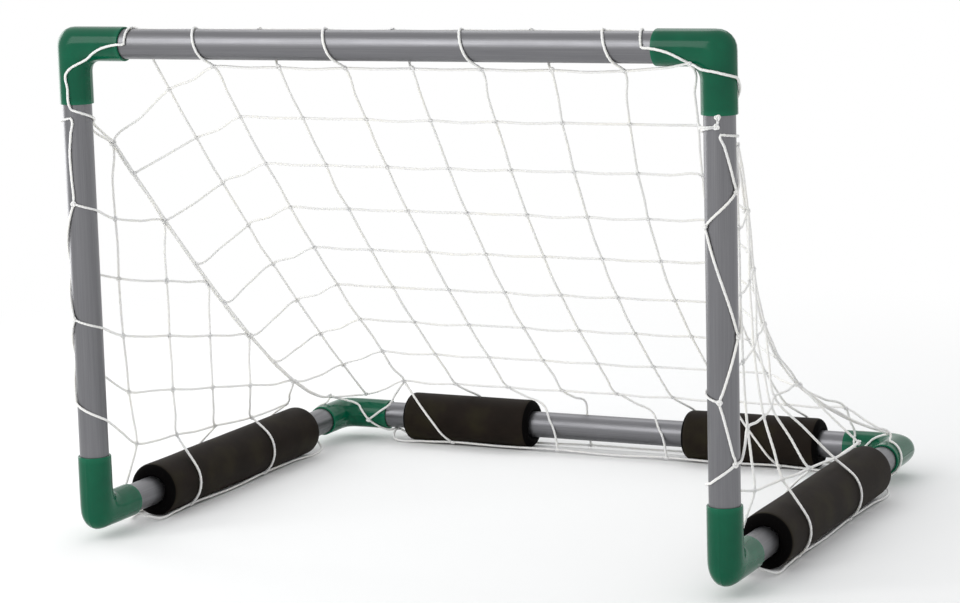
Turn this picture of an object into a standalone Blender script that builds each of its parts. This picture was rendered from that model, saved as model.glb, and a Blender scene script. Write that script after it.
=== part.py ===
"""A pool soccer goal: six round tubes pushed into six moulded corner elbows, four foam floats
that slide on the base tubes, and a knotted net threaded round the frame in three panels."""

from math import acos, atan2, ceil, cos, degrees, hypot, pi, radians, sin, sqrt, tau
from typing import NamedTuple

import bmesh
import bpy
from mathutils import Matrix, Vector

MM = 0.001

# Frame, measured between the axes of the tubes
GOAL_WIDTH = 570 * MM
GOAL_HEIGHT = 400 * MM
GOAL_DEPTH = 455 * MM

# Tubes
TUBE_OD = 25 * MM
TUBE_WALL = 1.5 * MM

# Moulded elbows: two sockets with an inner stop, a rounded corner and a fillet inside the bend
ELBOW_WALL = 1.5 * MM
ELBOW_ARM = 50 * MM
ELBOW_STOP = 26 * MM
ELBOW_PASSAGE = 21 * MM
ELBOW_CORNER = 15 * MM
ELBOW_FILLET = 10 * MM
LIP_CHAMFER = 0.6 * MM
FIT = 0.3 * MM

# Foam floats
FLOAT_OD = 47 * MM
FLOAT_EDGE = 6 * MM
FLOAT_FLAT = 0.5 * MM
SIDE_FLOAT_LENGTH = 272 * MM
SIDE_FLOAT_START = 88 * MM
REAR_FLOAT_LENGTH = 133 * MM
REAR_FLOAT_START = 73 * MM
SIDE_FLOAT_TRAVEL = 12 * MM
REAR_FLOAT_TRAVEL = 9 * MM

# Net
CORD = 2.2 * MM
CORD_GAP = 0.4 * MM
KNOT_RISE = 0.9 * MM
MESH = 67 * MM
HUNG = 0.9  # the part of their width that the meshes are spread to along the crossbar
SEAM_GAP = 0.45 * MM
LEFT, RIGHT = -1, 1

# Facets
TUBE_SIDES = 24
ELBOW_SIDES = 20
FLOAT_SIDES = 28
BEND_STEPS = 4
EDGE_STEPS = 3

TUBE_RADIUS = TUBE_OD / 2
SOCKET_RADIUS = TUBE_RADIUS + FIT
ELBOW_RADIUS = SOCKET_RADIUS + ELBOW_WALL
FLOAT_RADIUS = FLOAT_OD / 2
BASE_RISE = FLOAT_RADIUS - FLOAT_FLAT
HALF_WIDTH = GOAL_WIDTH / 2
HALF_CORD = CORD * sqrt(pi) / 4  # half the side of a square cord of the same section

X, Y, Z = Vector((1, 0, 0)), Vector((0, 1, 0)), Vector((0, 0, 1))


def clear_scene():
    for thing in list(bpy.data.objects):
        bpy.data.objects.remove(thing, do_unlink=True)


def srgb(hex_code):
    """A colour written as sRGB hex, as the linear values that a shader takes."""
    levels = [int(hex_code[i : i + 2], 16) / 255 for i in (0, 2, 4)]
    linear = [v / 12.92 if v <= 0.04045 else ((v + 0.055) / 1.055) ** 2.4 for v in levels]
    return (*linear, 1.0)


def material(name, colour, roughness, metallic=0.0):
    finish = bpy.data.materials.new(name)
    finish.use_nodes = True
    shader = finish.node_tree.nodes["Principled BSDF"]
    shader.inputs["Base Color"].default_value = srgb(colour)
    shader.inputs["Roughness"].default_value = roughness
    shader.inputs["Metallic"].default_value = metallic
    finish.diffuse_color = srgb(colour)
    return finish


def make_object(name, mesh, finish, place, turn=None):
    if not mesh.materials:
        mesh.materials.append(finish)
    piece = bpy.data.objects.new(name, mesh)
    bpy.context.scene.collection.objects.link(piece)
    piece.location = place
    if turn is not None:
        piece.rotation_euler = turn.to_euler()
    piece.parent = goal_frame
    return piece


def finish_mesh(name, bm, sharp=35):
    """Turns the faces outward, writes the mesh and shades its round parts smooth."""
    bmesh.ops.recalc_face_normals(bm, faces=bm.faces)
    mesh = bpy.data.meshes.new(name)
    bm.to_mesh(mesh)
    bm.free()
    mesh.shade_smooth()
    mesh.set_sharp_from_angle(angle=radians(sharp))
    return mesh


def bridge(bm, first, second):
    """Joins two rings of as many points with quads."""
    count = len(first)
    for i in range(count):
        j = (i + 1) % count
        bm.faces.new((first[i], first[j], second[j], second[i]))


def sleeve(name, rings):
    """A body with one hole through it: rings that run along its outside and back down its bore."""
    bm = bmesh.new()
    made = [[bm.verts.new(point) for point in ring] for ring in rings]
    for ring, following in zip(made, made[1:] + made[:1]):
        bridge(bm, ring, following)
    return finish_mesh(name, bm)


def oval(centre, across, out, half_across, half_out, sides):
    """A ring round centre; across and out are the directions of its two half widths."""
    angles = [tau * (i + 0.5) / sides for i in range(sides)]
    return [centre + across * half_across * cos(a) + out * half_out * sin(a) for a in angles]


def bore_radius(radius, sides):
    """The corner radius of a many-sided hole whose flats keep the true radius."""
    return radius / cos(pi / sides)


def tube_mesh(name, length):
    """A tube along Z, centred, with its two ends cut square."""
    def ring(z, radius):
        return oval(Z * z, X, Y, radius, radius, TUBE_SIDES)

    inner = TUBE_RADIUS - TUBE_WALL
    half = length / 2
    ends = ((-half, TUBE_RADIUS), (half, TUBE_RADIUS), (half, inner), (-half, inner))
    return sleeve(name, [ring(z, radius) for z, radius in ends])


def bend_reach(angle, wall, corner):
    """How far a bend reaches from its pivot: flat walls at the distance wall, joined by a corner radius."""
    sharp = wall / max(cos(angle), sin(angle))
    along = sharp * min(cos(angle), sin(angle))
    if along <= wall - corner:
        return sharp
    middle = wall - corner
    toward = middle * (cos(angle) + sin(angle))
    return toward + sqrt(toward**2 - 2 * middle**2 + corner**2)


def elbow_mesh():
    """One moulded elbow: its corner axis at the origin, its arms along X and Z."""
    pivot_out = ELBOW_RADIUS + ELBOW_FILLET
    pivot = (X + Z) * pivot_out
    socket = bore_radius(SOCKET_RADIUS, ELBOW_SIDES)
    passage = ELBOW_PASSAGE / 2

    def arm_ring(along, inward, distance, radius):
        return oval(along * distance, inward, Y, radius, radius, ELBOW_SIDES)

    def bend_ring(angle, near, far):
        """From the Z arm at 0 to the X arm at 90 degrees, seen from the pivot."""
        out = -X * cos(angle) - Z * sin(angle)
        centre = pivot + out * (near + far) / 2
        return oval(centre, -out, Y, (far - near) / 2, min(ELBOW_RADIUS, (far - near) / 2), ELBOW_SIDES)

    wall = pivot_out + ELBOW_RADIUS
    rings = [
        arm_ring(Z, X, ELBOW_ARM, ELBOW_RADIUS - LIP_CHAMFER),
        arm_ring(Z, X, ELBOW_ARM - LIP_CHAMFER, ELBOW_RADIUS),
    ]
    for step in range(BEND_STEPS + 1):
        angle = radians(90) * step / BEND_STEPS
        rings.append(bend_ring(angle, ELBOW_FILLET, bend_reach(angle, wall, ELBOW_CORNER)))
    rings += [
        arm_ring(X, Z, ELBOW_ARM - LIP_CHAMFER, ELBOW_RADIUS),
        arm_ring(X, Z, ELBOW_ARM, ELBOW_RADIUS - LIP_CHAMFER),
        arm_ring(X, Z, ELBOW_ARM, socket),
        arm_ring(X, Z, ELBOW_STOP, socket),
        arm_ring(X, Z, ELBOW_STOP, passage),
    ]
    for angle in (radians(90), radians(45), 0):
        rings.append(bend_ring(angle, pivot_out - passage, pivot_out + passage))
    rings += [
        arm_ring(Z, X, ELBOW_STOP, passage),
        arm_ring(Z, X, ELBOW_STOP, socket),
        arm_ring(Z, X, ELBOW_ARM, socket),
    ]
    return sleeve("corner_elbow", rings)


def float_mesh(name, length):
    """A foam sleeve along Y, centred, its outer edges rounded and its underside flat on the floor."""
    flat = FLOAT_RADIUS - FLOAT_FLAT
    start = -pi / 2 + acos(flat / FLOAT_RADIUS)
    step = (tau - 2 * (start + pi / 2)) / (FLOAT_SIDES - 1)
    bore = bore_radius(SOCKET_RADIUS, FLOAT_SIDES)

    def ring(y, radius):
        points = []
        for i in range(FLOAT_SIDES):
            angle = start + i * step
            points.append(Vector((radius * cos(angle), y, max(radius * sin(angle), -flat))))
        return points

    half = length / 2
    edge = [radians(90) * i / EDGE_STEPS for i in range(EDGE_STEPS + 1)]
    outside = [(half - FLOAT_EDGE * (1 - cos(a)), FLOAT_RADIUS - FLOAT_EDGE * (1 - sin(a))) for a in edge]
    rings = [ring(-half, bore), ring(half, bore)]
    rings += [ring(y, radius) for y, radius in outside]
    rings += [ring(-y, radius) for y, radius in reversed(outside)]
    return sleeve(name, rings)


class Spot(NamedTuple):
    """A place on a cord's path and, where it lies on something, the way it faces."""

    place: Vector
    face: Vector | None = None


class Round:
    """A round tube, arm or float that cords lie on, in angles from zero towards quarter."""

    STEP = radians(30)

    def __init__(self, origin, along, zero, quarter, radius):
        self.origin, self.along, self.zero, self.quarter = origin, along, zero, quarter
        self.lay = (radius + CORD_GAP) / cos(self.STEP / 2) + HALF_CORD

    def out(self, angle):
        """The direction away from the axis at an angle in degrees."""
        return self.zero * cos(radians(angle)) + self.quarter * sin(radians(angle))

    def at(self, distance, angle, lift=0.0):
        """The middle of a cord that lies on the surface, or lift above it."""
        out = self.out(angle)
        return Spot(self.origin + self.along * distance + out * (self.lay + lift), out)

    def turn(self, start, end):
        """Points of a cord laid from one (distance, angle) to another, both left out."""
        count = max(1, ceil(abs(radians(end[1] - start[1])) / self.STEP))
        parts = [i / count for i in range(1, count)]
        return [self.at(*(a + (b - a) * part for a, b in zip(start, end))) for part in parts]

    def leave(self, start, target, way):
        """Points of a cord laid from (distance, angle) round the way of +1 or -1 until it can leave
        straight for a point off the surface."""
        offset = target - self.origin
        across, up = offset.dot(self.zero), offset.dot(self.quarter)
        far = max(hypot(across, up), self.lay)
        tangent = atan2(up, across) - way * acos(self.lay / far)
        sweep = ((tangent - radians(start[1])) * way) % tau
        if sweep > radians(350):
            return []
        whole = self.lay * sweep + sqrt(far**2 - self.lay**2)
        count = max(1, ceil(sweep / self.STEP))
        points = []
        for i in range(1, count + 1):
            part = sweep * i / count
            distance = start[0] + (offset.dot(self.along) - start[0]) * self.lay * part / whole
            points.append(self.at(distance, start[1] + way * degrees(part)))
        return points


class Net:
    """Knots and the strands between them, skinned as one closed body of square cord."""

    def __init__(self, outward):
        self.outward = outward
        self.place, self.face, self.rise, self.strands = {}, {}, {}, []

    def knot(self, name, spot, rise=0.0):
        self.place[name], self.face[name] = spot
        self.rise[name] = rise
        return name

    def strand(self, start, end, via=()):
        self.strands.append((start, end, list(via)))

    def line(self, names):
        for start, end in zip(names, names[1:]):
            self.strand(start, end)

    def normal(self, name, spokes):
        """The knot's own facing or, off the tubes, the one square to its strands."""
        if self.face[name] is not None:
            return self.face[name]
        total = Vector()
        for i, a in enumerate(spokes):
            for b in spokes[i + 1 :]:
                cross = a.cross(b)
                total += cross if cross.dot(self.outward) > 0 else -cross
        return total.normalized() if total.length > 1e-6 else self.outward

    def hub(self, bm, name, spokes):
        """The ring of four points where each strand meets the knot, in the order of spokes."""
        centre, normal = self.place[name], self.normal(name, [way for _, way in spokes])
        if len(spokes) == 1:
            end, way = spokes[0]
            side = way.cross(normal).normalized()
            up = side.cross(way).normalized()
            corners = [(side, up), (-side, up), (-side, -up), (side, -up)]
            ring = [bm.verts.new(centre + (a + b) * HALF_CORD) for a, b in corners]
            bm.faces.new(ring)
            return {end: ring}
        east = (spokes[0][1] - normal * spokes[0][1].dot(normal)).normalized()
        north = normal.cross(east)
        turns = sorted((atan2(way.dot(north), way.dot(east)) % tau, end) for end, way in spokes)
        corners = []
        for (angle, _), (following, _) in zip(turns, turns[1:] + turns[:1]):
            gap = (following - angle) % tau
            middle = angle + gap / 2
            reach = HALF_CORD / max(sin(gap / 2), 0.15)
            corner = centre + (east * cos(middle) + north * sin(middle)) * reach
            corners.append([bm.verts.new(corner + normal * HALF_CORD * sign) for sign in (1, -1)])
        rings = {}
        for i, (_, end) in enumerate(turns):
            right, left = corners[i - 1], corners[i]
            rings[end] = [right[0], left[0], left[1], right[1]]
        if len(spokes) > 2:
            for side, sign in ((0, 1), (1, -1)):
                rim = [corner[side] for corner in corners]
                if not self.rise[name]:
                    bm.faces.new(rim)
                    continue
                peak = bm.verts.new(centre + normal * sign * (HALF_CORD + self.rise[name]))
                for a, b in zip(rim, rim[1:] + rim[:1]):
                    bm.faces.new((a, b, peak))
        return rings

    def mesh(self, name):
        bm = bmesh.new()
        spokes = {knot: [] for knot in self.place}
        for number, (start, end, via) in enumerate(self.strands):
            path = [self.place[start], *[spot.place for spot in via], self.place[end]]
            spokes[start].append(((number, 0), (path[1] - path[0]).normalized()))
            spokes[end].append(((number, 1), (path[-2] - path[-1]).normalized()))
        rings = {}
        for knot, ways in spokes.items():
            rings.update(self.hub(bm, knot, ways))
        for number, (start, end, via) in enumerate(self.strands):
            ring = rings[number, 0]
            up = ring[0].co + ring[1].co - ring[2].co - ring[3].co
            before = self.place[start]
            following = [spot.place for spot in via[1:]] + [self.place[end]]
            for (here, face), after in zip(via, following):
                along = ((here - before).normalized() + (after - here).normalized()).normalized()
                up = face or up
                up = (up - along * up.dot(along)).normalized()
                side = along.cross(up)
                corners = [side + up, up - side, -side - up, side - up]
                ring = self.join(bm, ring, [bm.verts.new(here + corner * HALF_CORD) for corner in corners])
                before = here
            last = rings[number, 1]
            self.join(bm, ring, [last[1], last[0], last[3], last[2]])
        return finish_mesh(name, bm)

    @staticmethod
    def join(bm, ring, following):
        """Joins two rings of a strand, the second turned by the quarters that twist it least."""
        middles = [sum((corner.co for corner in corners), Vector()) / 4 for corners in (ring, following)]
        along = (middles[1] - middles[0]).normalized()

        def spread(corners, middle):
            offsets = [corner.co - middle for corner in corners]
            return [offset - along * offset.dot(along) for offset in offsets]

        here = spread(ring, middles[0])
        turned = [following[shift:] + following[:shift] for shift in range(4)]
        twist = [sum((a - b).length for a, b in zip(here, spread(way, middles[1]))) for way in turned]
        best = turned[twist.index(min(twist))]
        bridge(bm, ring, best)
        return best


def lerp(a, b, part):
    return a + (b - a) * part


# The tubes and arms that the net is threaded on. Angles go from the back over the top on the
# crossbar, from the front towards the outside on a post, from the outside over the top on a side
# tube and from the front over the top on the rear tube.
def crossbar_round(radius):
    return Round(Z * GOAL_HEIGHT, X, Y, Z, radius)


def post_round(side, radius):
    return Round(X * side * HALF_WIDTH, Z, -Y, X * side, radius)


def side_round(side, radius):
    return Round(X * side * HALF_WIDTH, Y, X * side, Z, radius)


def rear_round(radius):
    return Round(Y * GOAL_DEPTH, X, -Y, Z, radius)


# The two seams, where the side panels are laced to the back panel. Each hangs below the straight
# line from its post to its rear elbow and is pulled inward, mostly at its lower half.
SEAM_SAG = {LEFT: 58 * MM, RIGHT: 20 * MM}
SEAM_PULL = {LEFT: 37 * MM, RIGHT: 45 * MM}
SEAM_SKEW = {LEFT: 0.27, RIGHT: 0.83}
SEAM_TOP = Vector((0, TUBE_RADIUS + 1.5 * MM, GOAL_HEIGHT - ELBOW_ARM))
SEAM_END = Vector((0, GOAL_DEPTH - ELBOW_ARM + 20 * MM, ELBOW_RADIUS + 6 * MM))
OUTER, INNER = 1, -1


def seam_middle(side, part):
    hang = 4 * part * (1 - part) * (1 + SEAM_SKEW[side] * (2 * part - 1))
    chord = SEAM_END - SEAM_TOP
    down = Vector((0, chord.z, -chord.y)).normalized()
    point = lerp(SEAM_TOP, SEAM_END, part) + down * SEAM_SAG[side] * hang
    point.x = side * (HALF_WIDTH - SEAM_PULL[side] * hang)
    return point


def seam(side, part, way):
    """A place on the seam's outer cord, the side panel's, or on its inner one, the back panel's."""
    middle = seam_middle(side, part)
    along = (seam_middle(side, part + 0.01) - seam_middle(side, part - 0.01)).normalized()
    beside = (X * side - along * along.dot(X * side)).normalized()
    place = middle + beside * way * (HALF_CORD + SEAM_GAP / 2)
    return Spot(place, beside if way == OUTER else along.cross(beside))


def seam_strand(net, side, start, end, way):
    """A stretch of a seam's cord between two (name, part), bent also where the other cord's knots are."""
    parts = [part for part in SEAM_PARTS if start[1] + 0.001 < part < end[1] - 0.001]
    net.strand(start[0], end[0], [seam(side, part, way) for part in parts])


# The back panel's columns run from the crossbar to the rear tube, its rows from seam to seam.
COLUMNS = round(GOAL_WIDTH / (MESH * HUNG) - 0.5)
COLUMN_STEP = GOAL_WIDTH / (COLUMNS + 0.5)
COLUMN_INSET = ELBOW_ARM + 22 * MM
COLUMN_DRIFT = 46 * MM  # the net hangs over to the left by most of a mesh
DRIFT_STEP = 4 * MM
BACK_TOP = Vector((0, 3.5 * MM, GOAL_HEIGHT - TUBE_RADIUS - 6 * MM))
BACK_END = Vector((0, GOAL_DEPTH - 32 * MM, FLOAT_RADIUS + 18 * MM))
BACK_ROWS = round((BACK_END - BACK_TOP).length / MESH)
BACK_SAG = 10 * MM
BACK_BOW = 22 * MM  # how far the last column bows to the left at half its length
CORNER_DROP = 34 * MM  # how much lower the first column hangs
CROSSBAR_LEAN = 18 * MM
REAR_LEAN = 42 * MM

# A side panel is square mesh cut along its diagonal: row n ends at the seam's knot that column n + 1
# hangs from.
SIDE_ROWS = ceil((GOAL_HEIGHT - 2 * ELBOW_ARM) / MESH) + 1
LAST_ROW = SIDE_ROWS - 1
SIDE_ROW_TOP = GOAL_HEIGHT - ELBOW_ARM - 45 * MM
SIDE_ROW_END = ELBOW_ARM + 2 * MM

# Where the knots of both panels are on a seam, as parts of its length; the back panel's rows from 0.
BACK_PARTS = [0.08] + [lerp(0.143, 0.76, i / (BACK_ROWS - 2)) for i in range(BACK_ROWS - 1)]
SIDE_PARTS = [lerp(0.08, 0.76, (i / (LAST_ROW - 1)) ** 1.1) for i in range(LAST_ROW)]
for i, part in enumerate(SIDE_PARTS):
    near = min(BACK_PARTS, key=lambda other: abs(other - part))
    SIDE_PARTS[i] = near if abs(near - part) < 0.03 else part
SEAM_PARTS = sorted({*BACK_PARTS, *SIDE_PARTS, 0.84, 0.92})

# How each row of a side panel is threaded round its post: the height of its knot over the row,
# the knot's angle from the front towards the outside, and which way round the post the row goes on,
# or None where no strand of the row reaches the post.
OUTSIDE, INSIDE = 1, -1
POST_THREADING = {
    LEFT: [
        (5 * MM, 3, None),
        (13 * MM, -2, INSIDE),
        (7 * MM, 95, OUTSIDE),
        (16 * MM, 22, INSIDE),
        (32 * MM, 95, OUTSIDE),
        (45 * MM, 40, INSIDE),
    ],
    RIGHT: [
        (-13 * MM, 78, OUTSIDE),
        (12 * MM, -40, INSIDE),
        (-22 * MM, 78, OUTSIDE),
        (-21 * MM, 8, INSIDE),
        (-19 * MM, 58, OUTSIDE),
        (17 * MM, -30, INSIDE),
    ],
}
LACE_TOP = {LEFT: (-11 * MM, -7), RIGHT: (-14 * MM, 23)}
TIE = {LEFT: (-4 * MM, -13), RIGHT: (-8 * MM, 10)}

# Angles of the two border cords along the underside of a float, and of the knots under a tube
LOW_OUT, LOW_IN, UNDER = -55, 235, -90
FOOT_LEAN = 4 * MM  # how far towards the post a side panel's strands slant on their way round the float


def side_row_height(row):
    return lerp(SIDE_ROW_TOP, SIDE_ROW_END, row / LAST_ROW)


def side_knot(side, row, column):
    """A knot of a side panel. Its columns start at the seam's knots, crowded and pulled inward, and
    end a mesh apart in the last row, just over the float."""
    above = seam(side, SIDE_PARTS[column - 1], OUTER)
    first = column - 1
    if row == first:
        return above
    height = lerp(SIDE_ROW_END, FLOAT_RADIUS + 7 * MM, min(1, column / (LAST_ROW - 1)))
    below = Vector((side * HALF_WIDTH, column * MESH, height))
    place = lerp(above.place, below, ((row - first) / (LAST_ROW - first)) ** 3)
    if row < LAST_ROW:
        end = seam(side, SIDE_PARTS[row], OUTER).place
        place.z = lerp(side_row_height(row), end.z, place.y / end.y)
    return Spot(place)


def side_grid(net, side):
    for row in range(SIDE_ROWS):
        names = [(row, column) for column in range(1, min(row + 1, LAST_ROW) + 1)]
        for name in names:
            on_seam = name[1] == row + 1
            net.knot(name, side_knot(side, *name), 0 if on_seam else KNOT_RISE)
        net.line(names)
    for column in range(1, LAST_ROW + 1):
        net.line([(row, column) for row in range(column - 1, SIDE_ROWS)])


def post_lacing(net, side):
    """The front selvedge winds down its post from the knot that the seam starts from."""
    post = post_round(side, TUBE_RADIUS)
    lip = GOAL_HEIGHT - ELBOW_ARM
    top = (lip + LACE_TOP[side][0], LACE_TOP[side][1])
    net.knot("lace_top", post.at(*top))
    before, name = top, "lace_top"
    for row in range(SIDE_ROWS):
        rise, angle, way = POST_THREADING[side][row % len(POST_THREADING[side])]
        here = (side_row_height(row) + rise, angle)
        net.knot(("lace", row), post.at(*here))
        net.strand(name, ("lace", row), post.turn(before, here))
        if way:
            net.strand(("lace", row), (row, 1), post.leave(here, net.place[row, 1], way))
        before, name = here, ("lace", row)
    behind = (lip - 18 * MM, 165)
    net.knot("behind_post", post.at(*behind))
    net.strand("lace_top", "behind_post", post.turn(top, behind))
    net.strand("behind_post", (0, 1))


def side_foot(net, side):
    """The panel's foot: strands go down outside and inside the float by turns, to two border cords
    under it that meet under the bare tube beyond each of its ends."""
    arm = side_round(side, ELBOW_RADIUS)
    bare = side_round(side, TUBE_RADIUS)
    foam = side_round(side, FLOAT_RADIUS)
    ends = (SIDE_FLOAT_START - SIDE_FLOAT_TRAVEL, SIDE_FLOAT_START + SIDE_FLOAT_LENGTH + SIDE_FLOAT_TRAVEL)
    lip = GOAL_DEPTH - ELBOW_ARM
    net.knot("front_under", bare.at(ELBOW_ARM + 12 * MM, UNDER))
    net.knot("rear_under", bare.at(lip - 15.5 * MM, UNDER))

    low_knots = {OUTSIDE: ["front_under"], INSIDE: ["front_under"]}
    for column in range(1, LAST_ROW + 1):
        target = net.place[LAST_ROW, column]
        way = OUTSIDE if (column % 2 == 0) == (side == RIGHT) else INSIDE
        turn = 1 if way == OUTSIDE else -1
        if column == 1:
            start = (ELBOW_ARM + 12 * MM, UNDER if way == OUTSIDE else UNDER + 360)
            net.strand("front_under", (LAST_ROW, 1), bare.leave(start, target, turn))
            continue
        start = (target.y - FOOT_LEAN, LOW_OUT if way == OUTSIDE else LOW_IN)
        name = net.knot(("low", column), foam.at(*start))
        net.strand(name, (LAST_ROW, column), foam.leave(start, target, turn))
        low_knots[way].append(name)
    for way, names in low_knots.items():
        angle = LOW_OUT if way == OUTSIDE else LOW_IN
        net.strand(names[0], names[1], [foam.at(ends[0] - 3 * MM, angle)])
        net.line(names[1:])
        net.strand(names[-1], "rear_under", [foam.at(ends[1] + 3 * MM, angle)])

    over, edge = (lip + 14 * MM, 90), (lip + 1 * MM, -65)
    net.knot("seam_end", Spot(seam(side, 1, OUTER).place, Z))
    seam_strand(net, side, ((LAST_ROW - 1, LAST_ROW), SIDE_PARTS[-1]), ("seam_end", 1), OUTER)
    net.strand("seam_end", "rear_under", [*arm.turn(over, edge), arm.at(*edge)])


def side_panel(side):
    """A triangular panel: its front edge threaded round the post, its foot round the side float."""
    net = Net(X * side)
    side_grid(net, side)
    post_lacing(net, side)
    for row in range(LAST_ROW - 1):
        ends = [((row + i, row + 1 + i), SIDE_PARTS[row + i]) for i in (0, 1)]
        seam_strand(net, side, *ends, OUTER)
    side_foot(net, side)
    return net.mesh("net_side")


def back_point(column, row):
    """A point of the back panel, which sags a little and leans to the left on its way down."""
    part = row / BACK_ROWS
    chord = BACK_END - BACK_TOP
    down = Vector((0, chord.z, -chord.y)).normalized()
    point = lerp(BACK_TOP, BACK_END, part) + down * BACK_SAG * 4 * part * (1 - part)
    if column == 0:
        point += chord.normalized() * CORNER_DROP
    bow = BACK_BOW * (column / (COLUMNS - 1)) ** 2 * 4 * part * (1 - part)
    lean = (COLUMN_DRIFT + DRIFT_STEP * column) * part
    point.x = COLUMN_INSET - HALF_WIDTH + column * COLUMN_STEP - lean - bow
    return Spot(point)


def seam_rows(side):
    """The rows that end on a seam. On the right, the goal's corner and its post hold the first two."""
    return range(0 if side == LEFT else 2, BACK_ROWS)


def back_grid(net):
    """The panel's own knots, row by row, with the knots of both seams at the ends of the rows. The
    last column hangs from the corner of the goal, not from the crossbar."""
    last = COLUMNS - 1
    for column in range(COLUMNS):
        first = 1 if column == last else 0
        names = [(column, row) for row in range(first, BACK_ROWS + 1)]
        for name in names:
            net.knot(name, back_point(*name), KNOT_RISE)
        net.line(names)
    for side in (LEFT, RIGHT):
        for row in seam_rows(side):
            net.knot(("seam", side, row), seam(side, BACK_PARTS[row], INNER))
    for row in range(BACK_ROWS + 1):
        names = [(column, row) for column in range(last if row == 0 else COLUMNS)]
        if row in seam_rows(LEFT):
            names.insert(0, ("seam", LEFT, row))
        if row in seam_rows(RIGHT):
            names.append(("seam", RIGHT, row))
        net.line(names)


def back_seam(net, side):
    """The panel's side of a seam, from behind the post to the top of the rear elbow."""
    net.knot(("end", side), Spot(seam(side, 1, INNER).place, Z))
    ends = [(("seam", side, row), BACK_PARTS[row]) for row in seam_rows(side)]
    ends = [(("inner", side), 0.001), *ends, (("end", side), 1)]
    for start, end in zip(ends, ends[1:]):
        seam_strand(net, side, start, end, INNER)


def crossbar_border(net):
    """The top selvedge lies on the bar; every second strand comes down in front of it."""
    bare = crossbar_round(TUBE_RADIUS)
    rest = 60
    lip = HALF_WIDTH - ELBOW_ARM
    names = []
    for column in range(COLUMNS - 1):
        target = net.place[column, 0]
        along = max(target.x - CROSSBAR_LEAN, 6 * MM - lip)
        names.append(net.knot(("bar", column), bare.at(along, rest)))
        net.strand(names[-1], (column, 0), bare.leave((along, rest), target, 1 if column % 2 else -1))
    names.append(net.knot("bar_end", bare.at(lip - 13 * MM, rest)))
    net.line(names)


def top_corner(net, side):
    """The selvedge crosses the front of a top elbow. On the left it goes down to the post, where the
    first row is tied, and on the right round the outside of the elbow."""
    bare, arm = crossbar_round(TUBE_RADIUS), crossbar_round(ELBOW_RADIUS)
    post, post_arm = post_round(side, TUBE_RADIUS), post_round(side, ELBOW_RADIUS)
    lip = HALF_WIDTH - ELBOW_ARM
    level = GOAL_HEIGHT - ELBOW_ARM
    start, begin = ("bar_end", lip - 13 * MM) if side == RIGHT else (("bar", 0), lip - 6 * MM)
    over = bare.turn((side * begin, 60), (side * (lip - 7 * MM), 175)) + [bare.at(side * (lip - 7 * MM), 175)]
    steps = ((-1 * MM, 178), (6 * MM, 182), (15 * MM, 191), (24 * MM, 208))
    over += [arm.at(side * (lip + step), angle) for step, angle in steps]
    corner = net.knot(("corner", side), arm.at(side * (lip + 31 * MM), 228))
    net.strand(start, corner, over)
    tie = (level + TIE[side][0], TIE[side][1])
    net.knot(("tie", side), post.at(*tie))
    inner = (level - 16 * MM, -150)
    net.knot(("inner", side), post.at(*inner))
    net.strand(("tie", side), ("inner", side), post.turn(tie, inner))
    if side == LEFT:
        down = [post_arm.at(level + 26 * MM, -2), post_arm.at(level + 1 * MM, tie[1] / 2)]
        net.strand(corner, ("tie", side), down)
    else:
        bend = Spot(Vector((HALF_WIDTH - 8 * MM, -ELBOW_RADIUS - 2 * MM, GOAL_HEIGHT - 15 * MM)))
        near, far = (level + 32 * MM, 10), (level - 1 * MM, 188)
        round_it = [bend, post_arm.at(*near), *post_arm.turn(near, far), post_arm.at(*far)]
        net.strand(corner, ("inner", side), round_it)
        net.knot("tail", post.at(level - 1 * MM, tie[1] + 4))
        net.strand(("tie", side), "tail")
        net.strand(("tie", side), (COLUMNS - 1, 1), post.leave(tie, net.place[COLUMNS - 1, 1], -1))
        net.strand((COLUMNS - 2, 0), corner, [arm.at(lip + 10 * MM, 255)])
        net.strand(corner, (COLUMNS - 1, 1))


def rear_foot(net):
    """The panel's foot: strands go down in front of and behind the rear tube by turns, to two border
    cords at the height of the floats' undersides."""
    bare, foam = rear_round(TUBE_RADIUS), rear_round(FLOAT_RADIUS)
    lip = HALF_WIDTH - ELBOW_ARM
    between = HALF_WIDTH - REAR_FLOAT_START - REAR_FLOAT_LENGTH - REAR_FLOAT_TRAVEL - 3 * MM
    low_knots = {1: [("under", LEFT)], -1: [("under", LEFT)]}
    for side in (LEFT, RIGHT):
        net.knot(("under", side), bare.at(side * (lip - 7 * MM), UNDER))
    for column in range(1, COLUMNS):
        knot = net.place[column, BACK_ROWS]
        front = column % 2 == 1
        angle, turn = (LOW_OUT, 1) if front else (LOW_IN, -1)
        along = knot.x + (REAR_LEAN if front else REAR_LEAN / 5)
        name = net.knot(("low", column), foam.at(along, angle))
        via = foam.leave((along, angle), knot, turn)
        if abs(along) < between:
            edge = max(-between, min(between, lerp(along, knot.x, 0.35)))
            face, rise = (0, 62) if front else (180, 118)
            via = [bare.at(lerp(along, edge, 0.3), face), bare.at(lerp(along, edge, 0.6), (face + rise) / 2)]
            via.append(foam.at(edge, rise))
        net.strand(name, (column, BACK_ROWS), via)
        low_knots[turn].append(name)
    for turn, names in low_knots.items():
        angle = LOW_OUT if turn == 1 else LOW_IN
        net.strand(names[0], names[1], [foam.at(11 * MM - lip, angle)])
        net.line(names[1:])
        net.strand(names[-1], ("under", RIGHT), [foam.at(lip - 11 * MM, angle)])


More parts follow.
